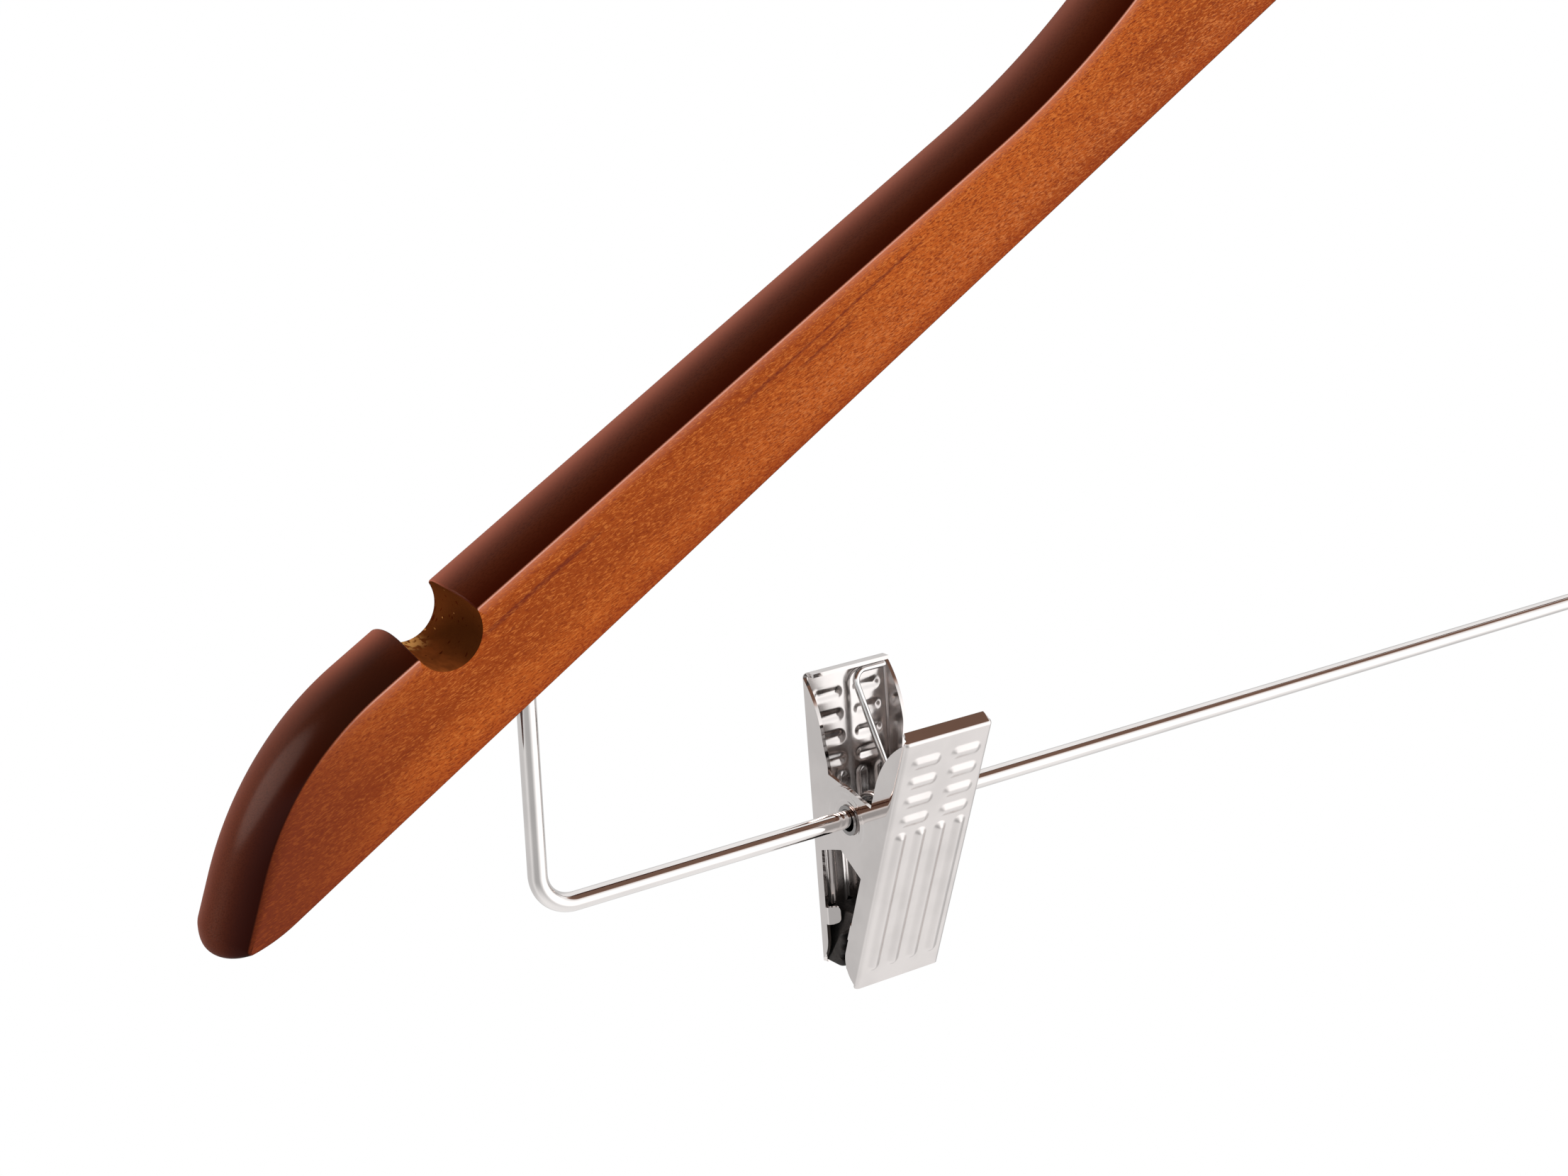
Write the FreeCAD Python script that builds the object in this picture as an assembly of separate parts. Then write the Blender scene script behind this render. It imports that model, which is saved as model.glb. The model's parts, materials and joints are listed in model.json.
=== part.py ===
import FreeCAD, Part
import math
import os

from FreeCAD import Vector

# Skirt hanger: two glued wooden arms, a swivel hook, a bent wire bar and two sliding spring clips.
# Millimetres and degrees, +Z up, X along the bar, front towards -Y.
# The origin is the point inside the top of the hook that rests on a rail.

# Wooden arms
wood_thickness = 15.0
edge_crown = 2.2            # how far the narrow edges bulge at mid thickness
upright_span = 350.0        # between the axes of the two uprights of the bar
arm_depth = 19.0            # underside to top edge, measured upright, at an upright of the bar
underside_slope = 31.7
top_slope = 30.4
neck_reach = 97.0           # centre to the start of the hollow neck curve
neck_radius = 150.0
neck_angle = 58.0           # steepest slope of the neck
apex_radius = 60.0          # rounding of the underside at the centre
shoulder_overhang = 25.3    # upright to the start of the rounded shoulder
shoulder_radius = 40.4      # on the flat faces
shoulder_swell = 6.5        # the shoulder's radius is this much larger at mid thickness
nose_angle = 70.4           # slope of the straight end of the arm
tip_radius = 2.0
notch_overhang = 14.5       # upright to the middle of the strap notch
notch_radius = 5.1
tongue_reach = 14.0         # of the centre joint, from the seam at the centre
tongue_thickness = 5.0

# Hook and the ferrule that it turns in
hook_wire = 3.8
hook_inner_radius = 20.0
hook_lean = 68.0            # slope where the sweep of the hook leaves its stem
hook_end_angle = 205.0      # where the hook ends, counted from +X
hook_rise = 64.0            # top of the head to the rail seat
swivel_clearance = 0.08
ferrule_radius = 4.2
ferrule_length = 20.0
ferrule_collar_radius = 6.2
ferrule_collar_height = 2.2
ferrule_throat = 8.0        # length of the narrow bore below the collar
spot_depth = 1.6            # flat seat of the collar below the crowned head
bead_radius = 2.9           # upset lower end of the hook
bead_height = 4.0
bead_room = 0.4             # around the upset end

# Bar
wire_diameter = 2.9
bar_drop = 36.9             # bar axis to the underside of the arm, at an upright
bar_bend_radius = 5.8       # of the wire's axis
socket_depth = 14.0
glue_gap = 0.05
end_gap = 0.5               # left at the bottom of blind holes

# Clips, placed on the bar
clip_offset = 113.0         # centre of the hanger to the middle of each clip
clip_tilt = 6.4             # both jaws lean this far forward on the bar
jaw_half_angle = 11.1       # each jaw from the clip's middle plane
tube_play = 0.35            # bore of the hinge tube around the wire
tube_rest = 0.05            # gap left where the tube hangs on the wire
tube_wall = 0.35
tube_flare = 0.35
tube_recess = 0.05          # ends of the tube below the ears
hinge_clearance = 0.06

# Jaws: pressed channels, sizes along the plate counted from the hinge axis
sheet = 0.6
jaw_width = 16.5            # outside of the front jaw
ear_clearance = 0.1         # between the ears of the two jaws
plate_distance = 10.1       # hinge axis to the outer face of a plate
jaw_top = 21.9
jaw_bottom = 26.8
fold_radius = 1.2
lip_depth = 2.4
rim_setback = 0.7           # flanges end this far inside the ends of the plate
handle_flange = 5.0         # depth of the flanges beside the handle
handle_flat = 10.0
throat_top = 6.2
throat_bottom = 7.0
skirt_flat = 22.0
front_skirt = 4.0           # depth of the flanges beside the pads
rear_skirt = 2.3
front_ear_radius = 5.5
rear_ear_radius = 4.9
dish_radius = 3.5
dish_depth = 0.35

# Pressed beads in the plates
bead_rise = 0.45
dash_rows = 4
dash_columns = 2
dash_length = 5.2
dash_width = 1.9
dash_pitch = 3.55
dash_spread = 7.5           # between the two columns
dash_top = 17.9             # highest row above the hinge
rib_count = 4
rib_pitch = 3.75
rib_width = 1.7
rib_top = 4.1
rib_bottom = 23.3

# Rubber pads and the lugs that stop them
pad_top = 19.3              # below the hinge
pad_bottom = 26.4
pad_gap = 0.3               # between the two pads at rest
pad_rounding = 0.8
groove_count = 3
groove_width = 0.9
groove_depth = 0.5
lug_top = 16.6
lug_height = 2.4
lug_reach = 2.4

# Torsion spring
spring_wire = 1.1
coil_clearance = 0.35       # around the hinge tube
coil_turns = 4.5
coil_pitch = 1.85
leg_gap = 0.3               # between a leg and its plate
leg_corner = 0.7            # a leg leans to this far from the middle, then bends outwards
leg_bend_radius = 2.0
leg_easing = 2.4            # run over which a leg eases into the coil

overrun = 5.0               # cutting shapes pass this far beyond what they cut


def unit(degrees):
    return math.cos(math.radians(degrees)), math.sin(math.radians(degrees))


def tangent(degrees):
    return math.tan(math.radians(degrees))


# Places that follow from the sizes above, heights counted from the bar's axis at first
half_span = upright_span / 2
half_thickness = wood_thickness / 2
wire_radius = wire_diameter / 2
top_at_upright = bar_drop + arm_depth
neck_start = (-neck_reach, top_at_upright + tangent(top_slope) * (half_span - neck_reach))
shoulder_start = (-half_span - shoulder_overhang, top_at_upright - tangent(top_slope) * shoulder_overhang)
neck_across = neck_radius * (unit(neck_angle)[1] - unit(top_slope)[1])
neck_up = neck_radius * (unit(top_slope)[0] - unit(neck_angle)[0])
head_radius = (neck_reach - neck_across) / unit(neck_angle)[1]
head_height = neck_start[1] + neck_up + head_radius * (1 - unit(neck_angle)[0])
head_top = -hook_rise
bar_height = head_top - edge_crown - head_height
hang_drop = tube_play - tube_rest
hinge_height = bar_height - hang_drop


class Trace:
    # A closed outline in an upright plane, drawn by lengths and turns and grown outwards by one amount.

    def __init__(self, x, z, heading, grow, y):
        self.heading = heading
        self.grow = grow
        self.y = y
        self.x, self.z = self.shifted(x, z, grow)
        self.start = self.point()
        self.edges = []

    def shifted(self, x, z, right):
        along, up = unit(self.heading)
        return x + right * up, z - right * along

    def point(self):
        return Vector(self.x, self.y, self.z)

    def line(self, length):
        begin = self.point()
        along, up = unit(self.heading)
        self.x += length * along
        self.z += length * up
        self.edges.append(Part.LineSegment(begin, self.point()).toShape())

    def arc(self, radius, turn):
        # A left turn bulges outwards and grows, a right turn is hollow and shrinks.
        side = math.copysign(1.0, turn)
        reach = radius + side * self.grow
        begin = self.point()
        centre = self.shifted(self.x, self.z, -side * reach)
        stops = []
        for share in (0.5, 1.0):
            along, up = unit(self.heading + share * turn)
            stops.append(Vector(centre[0] + side * reach * up, self.y, centre[1] - side * reach * along))
        self.edges.append(Part.Arc(begin, stops[0], stops[1]).toShape())
        self.heading += turn
        self.x, self.z = stops[1].x, stops[1].z

    def closed(self):
        if (self.point() - self.start).Length > 1e-6:
            raise ValueError("the outline does not close")
        return Part.Wire(self.edges)


def wood_runs(shoulder):
    # Lengths of the straight edges that close an outline with this shoulder radius.
    top_run = (half_span + shoulder_overhang - neck_reach) / unit(top_slope)[0]
    x = shoulder_start[0] + shoulder * (unit(top_slope)[1] - unit(nose_angle)[1])
    z = shoulder_start[1] - shoulder * (unit(top_slope)[0] - unit(nose_angle)[0])
    # The nose line meets the underside line at a corner, which the tip rounds off.
    slope = tangent(underside_slope)
    along, up = unit(nose_angle)
    above = z - bar_drop - slope * (x + half_span)
    corner_run = above / (up - slope * along)
    tip_turn = 180 - nose_angle + underside_slope
    tip_setback = tip_radius * tangent(tip_turn / 2)
    corner_x = x - corner_run * along
    under_run = -corner_x / unit(underside_slope)[0] - tip_setback - apex_radius * slope
    return top_run, corner_run - tip_setback, tip_turn, under_run


def wood_outline(grow, shoulder, y):
    top_run, nose_run, tip_turn, under_run = wood_runs(shoulder)
    trace = Trace(0, bar_height + head_height, 180, grow, y)
    down_arm = [(head_radius, neck_angle), (neck_radius, top_slope - neck_angle), (top_run, None),
                (shoulder, nose_angle - top_slope), (nose_run, None), (tip_radius, tip_turn), (under_run, None)]
    for size, turn in down_arm + [(apex_radius, -2 * underside_slope)] + down_arm[::-1]:
        if turn is None:
            trace.line(size)
        else:
            trace.arc(size, turn)
    return trace.closed()


def upright_cylinder(radius, x, bottom, top):
    return Part.makeCylinder(radius, top - bottom, Vector(x, 0, bottom))


def cross_cylinder(radius, length, axis, centre):
    # A cylinder of this length whose middle is at the centre point.
    return Part.makeCylinder(radius, length, centre - axis * (length / 2), axis)


def block(x0, x1, y0, y1, z0, z1):
    return Part.makeBox(x1 - x0, y1 - y0, z1 - z0, Vector(x0, y0, z0))


def collar_seat():
    return head_top - spot_depth


def socket_top():
    return bar_height + bar_drop + socket_depth


def wooden_arms():
    # Crowned edges come from outlines that grow towards mid thickness, most of all at the tips.
    front, back = (wood_outline(0, shoulder_radius, y) for y in (-half_thickness, half_thickness))
    middle = wood_outline(edge_crown, shoulder_radius + shoulder_swell, 0)
    body = Part.makeLoft([front, middle, back], True, False)
    across = wood_thickness + overrun
    notch_height = bar_height + top_at_upright - tangent(top_slope) * notch_overhang
    cuts = []
    for side in (-1, 1):
        notch_centre = Vector(side * (half_span + notch_overhang), 0, notch_height)
        cuts.append(cross_cylinder(notch_radius, across, Vector(0, 1, 0), notch_centre))
        socket_mouth = bar_height + bar_drop - socket_depth
        cuts.append(upright_cylinder(wire_radius + glue_gap, side * half_span, socket_mouth, socket_top()))
    above = head_top + overrun
    cuts.append(upright_cylinder(ferrule_collar_radius + glue_gap, 0, collar_seat(), above))
    hole_bottom = collar_seat() - ferrule_length - end_gap
    cuts.append(upright_cylinder(ferrule_radius + glue_gap, 0, hole_bottom, above))
    body = body.cut(cuts)
    # The right arm has a tongue in the middle of its thickness, the left arm the slot for it.
    reach = half_span + shoulder_overhang + shoulder_radius
    low, high = bar_height, above
    left_side = block(-reach, 0, -across, across, low, high)
    tongue = block(-tongue_reach, 0, -tongue_thickness / 2, tongue_thickness / 2, low, high)
    left_side = left_side.cut(tongue)
    return {"left_arm": body.common(left_side), "right_arm": body.cut(left_side)}


def swept(path, radius):
    # A round wire along tangent lines and arcs.
    first = path[0]
    begin = first.valueAt(first.FirstParameter)
    ring = Part.Wire(Part.Circle(begin, first.tangentAt(first.FirstParameter), radius).toShape())
    return Part.Wire(path).makePipeShell([ring], True, False)


def upright_point(x, z):
    return Vector(x, 0, z)


def hook():
    middle_radius = hook_inner_radius + hook_wire / 2
    centre = -hook_inner_radius
    lean_across, lean_up = unit(hook_lean)
    turn_radius = middle_radius * lean_across / (1 - lean_across)
    stem_top = centre - (middle_radius + turn_radius) * lean_up
    bead_top = collar_seat() - ferrule_throat - swivel_clearance

    def on_stem_turn(degrees):
        across, up = unit(degrees)
        return upright_point(turn_radius * (1 - across), stem_top + turn_radius * up)

    def on_hook(degrees):
        across, up = unit(degrees)
        return upright_point(middle_radius * across, centre + middle_radius * up)

    begin = -hook_lean
    path = [
        Part.LineSegment(upright_point(0, bead_top - bead_height / 2), on_stem_turn(0)).toShape(),
        Part.Arc(on_stem_turn(0), on_stem_turn(hook_lean / 2), on_stem_turn(hook_lean)).toShape(),
        Part.Arc(on_hook(begin), on_hook((begin + hook_end_angle) / 2), on_hook(hook_end_angle)).toShape(),
    ]
    wire = swept(path, hook_wire / 2)
    bead = upright_cylinder(bead_radius, 0, bead_top - bead_height, bead_top)
    tip = Part.makeSphere(hook_wire / 2, on_hook(hook_end_angle))
    return wire.fuse([bead, tip]).removeSplitter()


def hook_ferrule():
    seat = collar_seat()
    bottom = seat - ferrule_length
    body = upright_cylinder(ferrule_radius, 0, bottom, seat)
    body = body.fuse(upright_cylinder(ferrule_collar_radius, 0, seat, seat + ferrule_collar_height))
    bore = upright_cylinder(hook_wire / 2 + swivel_clearance, 0, bottom - overrun, seat + overrun)
    chamber = upright_cylinder(bead_radius + bead_room, 0, bottom - overrun, seat - ferrule_throat)
    body = body.cut([bore, chamber]).removeSplitter()
    rim = [edge for edge in body.Edges
           if edge.BoundBox.ZMin > seat + ferrule_collar_height / 2 and edge.BoundBox.XMax > ferrule_radius]
    return body.makeFillet(ferrule_collar_height / 2, rim)


def trouser_bar():
    bend = bar_bend_radius
    end = socket_top() - end_gap
    corner = half_span - bend
    inside = bend * (1 - unit(45)[0])
    points = [upright_point(-half_span, end), upright_point(-half_span, bar_height + bend),
              upright_point(-half_span + inside, bar_height + inside), upright_point(-corner, bar_height)]
    points += [upright_point(-p.x, p.z) for p in reversed(points)]
    path = [Part.LineSegment(points[0], points[1]).toShape(), Part.Arc(*points[1:4]).toShape(),
            Part.LineSegment(points[3], points[4]).toShape(), Part.Arc(*points[4:7]).toShape(),
            Part.LineSegment(points[6], points[7]).toShape()]
    return swept(path, wire_radius)


# Clip pieces are drawn around the hinge axis with the plate upright and its outside towards -Y.
# Points of a side view are (height above the hinge, distance from the hinge towards the outside).
tube_bore = wire_radius + tube_play
tube_radius = tube_bore + tube_wall
ear_hole = tube_radius + hinge_clearance
plate_inside = plate_distance - sheet
rear_width = jaw_width - 2 * (sheet + ear_clearance)


def side_point(x, height, out):
    return Vector(x, -out, height)


def side_prism(edges_at, half_width):
    # Extrudes a closed side view across the clip.
    face = Part.Face(Part.Wire(edges_at(-half_width)))
    return face.extrude(Vector(2 * half_width, 0, 0))


def polyline(points):
    return [Part.LineSegment(a, b).toShape() for a, b in zip(points, points[1:])]


def channel(width):
    # Plate and two flanges with rounded folds, seen from above, drawn as one outline.
    half = width / 2
    open_end = front_ear_radius + overrun
    outer = []
    inner = []
    for outline, inset, radius in ((outer, 0, fold_radius), (inner, sheet, fold_radius - sheet)):
        face = -(plate_distance - inset)
        side = half - inset
        cut = radius * (1 - unit(45)[0])
        left = [Vector(-side, open_end, -jaw_bottom), Vector(-side, face + radius, -jaw_bottom),
                Vector(-side + cut, face + cut, -jaw_bottom), Vector(-side + radius, face, -jaw_bottom)]
        right = [Vector(-p.x, p.y, p.z) for p in reversed(left)]
        outline += [Part.LineSegment(left[0], left[1]).toShape(), Part.Arc(*left[1:]).toShape(),
                    Part.LineSegment(left[3], right[0]).toShape(), Part.Arc(*right[:3]).toShape(),
                    Part.LineSegment(right[2], right[3]).toShape()]
    ends = [Part.LineSegment(outer[0].Vertexes[0].Point, inner[0].Vertexes[0].Point).toShape(),
            Part.LineSegment(outer[-1].Vertexes[1].Point, inner[-1].Vertexes[1].Point).toShape()]
    wire = Part.Wire(Part.__sortEdges__(outer + inner + ends))
    return Part.Face(wire).extrude(Vector(0, 0, jaw_top + jaw_bottom))


def easing_arc(x, begin, end):
    # From a point where the edge runs along the plate to a point further out.
    rise = end[1] - begin[1]
    run = end[0] - begin[0]
    half_turn = math.atan2(rise, abs(run))
    radius = (run * run + rise * rise) / (2 * rise)
    middle = (begin[0] + math.copysign(radius * math.sin(half_turn), run),
              begin[1] + radius * (1 - math.cos(half_turn)))
    return Part.Arc(side_point(x, *begin), side_point(x, *middle), side_point(x, *end)).toShape()


def ear_touch(corner, radius, side):
    # Angle where a line from the corner touches the round ear.
    return math.degrees(math.atan2(corner[1], corner[0])) - side * math.degrees(
        math.acos(radius / math.hypot(*corner)))


def flange_profile(ear_radius, skirt):
    # Side view of a jaw: handle flange, ear around the hinge, then the flange beside the pad.
    handle_edge = plate_distance - handle_flange
    skirt_edge = plate_distance - skirt
    outside = plate_distance + overrun
    throat = (throat_top, handle_edge)
    chin = (-throat_bottom, skirt_edge)
    upper = ear_touch(throat, ear_radius, 1)
    lower = ear_touch(chin, ear_radius, -1)

    def on_ear(degrees):
        return tuple(ear_radius * part for part in unit(degrees))

    def edges_at(x):
        handle_end = (jaw_top - rim_setback, plate_inside)
        skirt_end = (rim_setback - jaw_bottom, plate_inside)
        around = [side_point(x, *on_ear(a)) for a in (upper, (upper + lower - 360) / 2, lower)]
        top = polyline([side_point(x, *p) for p in
                        ((-jaw_bottom, outside), (jaw_top, outside), (jaw_top, plate_inside), handle_end)])
        bottom = polyline([side_point(x, *p) for p in
                           (skirt_end, (-jaw_bottom, plate_inside), (-jaw_bottom, outside))])
        flat_end = (handle_flat, handle_edge)
        skirt_begin = (-skirt_flat, skirt_edge)
        return top + [easing_arc(x, flat_end, handle_end)] + polyline(
            [side_point(x, *flat_end), side_point(x, *throat), around[0]]) + [
            Part.Arc(*around).toShape()] + polyline(
            [around[2], side_point(x, *chin), side_point(x, *skirt_begin)]) + [
            easing_arc(x, skirt_begin, skirt_end)] + bottom

    return edges_at


def pressed_bead(width, begin, end, sink):
    # A round-ended bead along the line between two points of the plate, sunk by the given depth.
    radius = (width * width / 4 + bead_rise * bead_rise) / (2 * bead_rise)
    out = plate_distance + bead_rise - radius - sink
    a, b = (Vector(x, -out, height) for x, height in (begin, end))
    along = b - a
    return Part.makeCylinder(radius, along.Length, a, along).fuse(
        [Part.makeSphere(radius, a), Part.makeSphere(radius, b)])


def bead_lines():
    # Width and end points of every bead: rows of dashes on the handle, long ribs below.
    lines = []
    for row in range(dash_rows):
        height = dash_top - row * dash_pitch
        for column in range(dash_columns):
            middle = (column - (dash_columns - 1) / 2) * dash_spread
            reach = (dash_length - dash_width) / 2
            lines.append((dash_width, (middle - reach, height), (middle + reach, height)))
    for rib in range(rib_count):
        x = (rib - (rib_count - 1) / 2) * rib_pitch
        lines.append((rib_width, (x, rib_width / 2 - rib_bottom), (x, rib_top - rib_width / 2)))
    return lines


def jaw(width, ear_radius, skirt):
    half = width / 2
    body = channel(width).common(side_prism(flange_profile(ear_radius, skirt), half + overrun))
    lip_half = half - fold_radius
    body = body.fuse(block(-lip_half, lip_half, -plate_distance, lip_depth - plate_distance,
                           jaw_top - sheet, jaw_top))
    # Lugs bent inwards from the flanges stop the pad.
    edge = skirt - plate_distance
    for side in (-1, 1):
        inner, outer = sorted((side * (half - sheet - lug_reach), side * half))
        body = body.fuse(block(inner, outer, edge - sheet, edge + sheet, -lug_top - lug_height, -lug_top))
    slab = block(-half, half, -plate_distance - overrun, -plate_inside, -jaw_bottom, jaw_top)
    lines = bead_lines()
    body = body.fuse([pressed_bead(*line, 0).common(slab) for line in lines])
    body = body.cut([pressed_bead(*line, sheet) for line in lines])
    eye = cross_cylinder(ear_hole, width + overrun, Vector(1, 0, 0), Vector(0, 0, 0))
    return body.cut(eye).removeSplitter()


def front_jaw():
    body = jaw(jaw_width, front_ear_radius, front_skirt)
    half = jaw_width / 2
    for side in (-1, 1):
        dish = Part.makeCone(ear_hole, dish_radius, dish_depth, Vector(side * (half - dish_depth), 0, 0),
                             Vector(side, 0, 0))
        body = body.cut(dish)
    return body


def rear_jaw():
    return jaw(rear_width, rear_ear_radius, rear_skirt)


def hinge_tube():
    half = jaw_width / 2 - tube_recess
    along = Vector(1, 0, 0)
    body = cross_cylinder(tube_radius, 2 * half, along, Vector(0, 0, 0))
    bore = cross_cylinder(tube_bore, 2 * half + overrun, along, Vector(0, 0, 0))
    for side in (-1, 1):
        direction = Vector(side, 0, 0)
        flare_start = Vector(side * (half - dish_depth + hinge_clearance), 0, 0)
        flare_length = dish_depth - hinge_clearance
        body = body.fuse(Part.makeCone(tube_radius, tube_radius + tube_flare, flare_length, flare_start,
                                       direction))
    return body.cut(bore).removeSplitter()


def pad():
    # A wedge of rubber from the plate to the clip's middle plane, with grip grooves across it.
    half = rear_width / 2 - fold_radius
    lean = tangent(jaw_half_angle)
    lift = pad_gap / 2 / unit(jaw_half_angle)[0]
    corners = [(-pad_top, plate_inside), (-pad_bottom, plate_inside),
               (-pad_bottom, pad_bottom * lean + lift), (-pad_top, pad_top * lean + lift)]

    def edges_at(x):
        return polyline([side_point(x, *c) for c in corners + corners[:1]])

    body = side_prism(edges_at, half)
    rounded = [edge for edge in body.Edges if edge.BoundBox.YMin > -plate_inside + pad_rounding]
    body = body.makeFillet(pad_rounding, rounded)
    step = (pad_bottom - pad_top) / (groove_count + 1)
    for groove in range(groove_count):
        below = pad_top + (groove + 1) * step
        floor = below * lean + lift + groove_depth
        body = body.cut(block(-half - overrun, half + overrun, -floor, overrun,
                              -below - groove_width / 2, groove_width / 2 - below))
    return body


def biarc(begin, begin_way, end, end_way):
    # Two tangent arcs that leave the first point and reach the second in the given directions.
    chord = end - begin
    ways = begin_way + end_way
    spread = 2 * (1 - begin_way.dot(end_way))
    reach = chord.dot(ways)
    if spread < 1e-9:
        handle = chord.Length / 4
    else:
        handle = (math.sqrt(reach * reach + spread * chord.dot(chord)) - reach) / spread
    joint = (begin + end + (begin_way - end_way) * handle) * 0.5
    return [tangent_arc(begin, begin_way, joint), tangent_arc(end, end_way * -1, joint, backwards=True)]


def tangent_arc(begin, way, end, backwards=False):
    chord = end - begin
    half = chord * 0.5
    aside = way - chord * (way.dot(chord) / chord.dot(chord))
    turn = math.atan2(aside.Length, way.dot(chord) / chord.Length)
    middle = begin + half + aside.normalize() * (half.Length * math.tan(turn / 2))
    if backwards:
        begin, end = end, begin
    return Part.Arc(begin, middle, end).toShape()


def spring_path():
    # A coil around the hinge tube, with one leg up the inside of each plate.
    radius = spring_wire / 2
    coil_radius = tube_radius + coil_clearance + radius
    half_length = coil_turns * coil_pitch / 2
    leg_out = plate_inside - leg_gap - radius
    hook_height = jaw_top - sheet - leg_gap - radius
    lean = jaw_half_angle

    def leg(side):
        # side 1 is the rear leg at the +X end of the coil, side -1 the front leg at the other end.
        # In the side view the leg is the tangent from its top to the coil.
        distance = math.hypot(hook_height, leg_out)
        top_angle = math.degrees(math.atan2(leg_out, hook_height))
        touch = top_angle + math.degrees(math.acos(coil_radius / distance))

        def place(x, height, out):
            flat = side_point(side * x, height, out)
            turned = FreeCAD.Rotation(Vector(1, 0, 0), lean).multVec(flat)
            return Vector(turned.x, -side * turned.y, turned.z)

        across, out = (coil_radius * part for part in unit(touch))
        base = place(half_length, across, out)
        corner = place(leg_corner, hook_height, leg_out)
        end = place(rear_width / 2 - sheet - leg_gap, hook_height, leg_out)
        up = (corner - base).normalize()
        aside = (end - corner).normalize()
        setback = leg_bend_radius * math.tan(up.getAngle(aside) / 2)
        return base, up, corner - up * setback, corner + aside * setback, aside, end

    base, up, bend_in, bend_out, aside, end = leg(1)
    front = leg(-1)

    # The coil runs from the rear leg under the tube to the front leg.
    start_angle = math.atan2(base.z, base.y)
    finish_angle = math.atan2(front[0].z, front[0].y)
    sweep = (finish_angle - start_angle) % (2 * math.pi) - 2 * math.pi * math.ceil(coil_turns)

    def on_coil(share):
        angle = start_angle + share * sweep
        point = Vector(half_length * (1 - 2 * share), coil_radius * math.cos(angle),
                       coil_radius * math.sin(angle))
        way = Vector(-2 * half_length, -coil_radius * math.sin(angle) * sweep,
                     coil_radius * math.cos(angle) * sweep)
        return point, way.normalize()

    quarters = 4 * math.ceil(coil_turns)
    path = [Part.LineSegment(end, bend_out).toShape()]
    path += biarc(bend_out, aside * -1, bend_in, up * -1)
    rear_ease = base + up * leg_easing
    path.append(Part.LineSegment(bend_in, rear_ease).toShape())
    joins = [on_coil((i + 0.5) / quarters) for i in range(quarters)]
    joins = [(rear_ease, up * -1)] + joins + [(front[0] + front[1] * leg_easing, front[1])]
    for (a, a_way), (b, b_way) in zip(joins, joins[1:]):
        path += biarc(a, a_way, b, b_way)
    path.append(Part.LineSegment(joins[-1][0], front[2]).toShape())
    path += biarc(front[2], front[1], front[3], front[4])
    path.append(Part.LineSegment(front[3], front[5]).toShape())
    return path


def spring():
    path = spring_path()
    points = []
    travelled = []
    length = 0
    step = spring_wire / 4
    for edge in path:
        count = max(2, math.ceil(edge.Length / step))
        for i in range(count):
            share = edge.FirstParameter + (edge.LastParameter - edge.FirstParameter) * i / count
            points.append(edge.valueAt(share))
            travelled.append(length + edge.Length * i / count)
        length += edge.Length
    apart = 3 * spring_wire
    nearest = min((points[i] - points[j]).Length
                  for i in range(len(points)) for j in range(i) if travelled[i] - travelled[j] > apart)
    print("spring wire", round(length, 1), "mm long, least gap to itself", round(nearest - spring_wire, 2))
    return swept(path, spring_wire / 2)


def placed(shape, lean, turned):
    # Turns a clip piece to its jaw's lean, facing forward or backward.
    piece = shape.copy()
    centre = Vector(0, 0, 0)
    if turned:
        piece.rotate(centre, Vector(0, 0, 1), 180)
    piece.rotate(centre, Vector(1, 0, 0), lean)
    return piece


def clip_pieces():
    front_lean = clip_tilt + jaw_half_angle
    rear_lean = clip_tilt - jaw_half_angle
    rubber = pad()
    return {
        "hinge_tube": hinge_tube(),
        "rear_jaw": placed(rear_jaw(), rear_lean, True),
        "front_jaw": placed(front_jaw(), front_lean, False),
        "rear_pad": placed(rubber, rear_lean, True),
        "front_pad": placed(rubber, front_lean, False),
        "spring": placed(spring(), clip_tilt, False),
    }


def all_pieces():
    pieces = wooden_arms()
    pieces["hook"] = hook()
    pieces["hook_ferrule"] = hook_ferrule()
    pieces["trouser_bar"] = trouser_bar()
    clip = clip_pieces()
    for name, x in (("left", -clip_offset), ("right", clip_offset)):
        for piece, shape in clip.items():
            moved = shape.copy()
            moved.translate(Vector(x, 0, hinge_height))
            pieces[name + "_" + piece] = moved
    return pieces


os.makedirs("parts", exist_ok=True)
for node, shape in all_pieces().items():
    if not shape.isValid() or len(shape.Solids) != 1:
        raise ValueError(node + " is not one sound solid")
    shape.exportStep("parts/" + node + ".step")
    print(node, round(shape.Volume, 1))
print("bar height", round(bar_height, 2), "hinge height", round(hinge_height, 2))
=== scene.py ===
import json
import math

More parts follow.
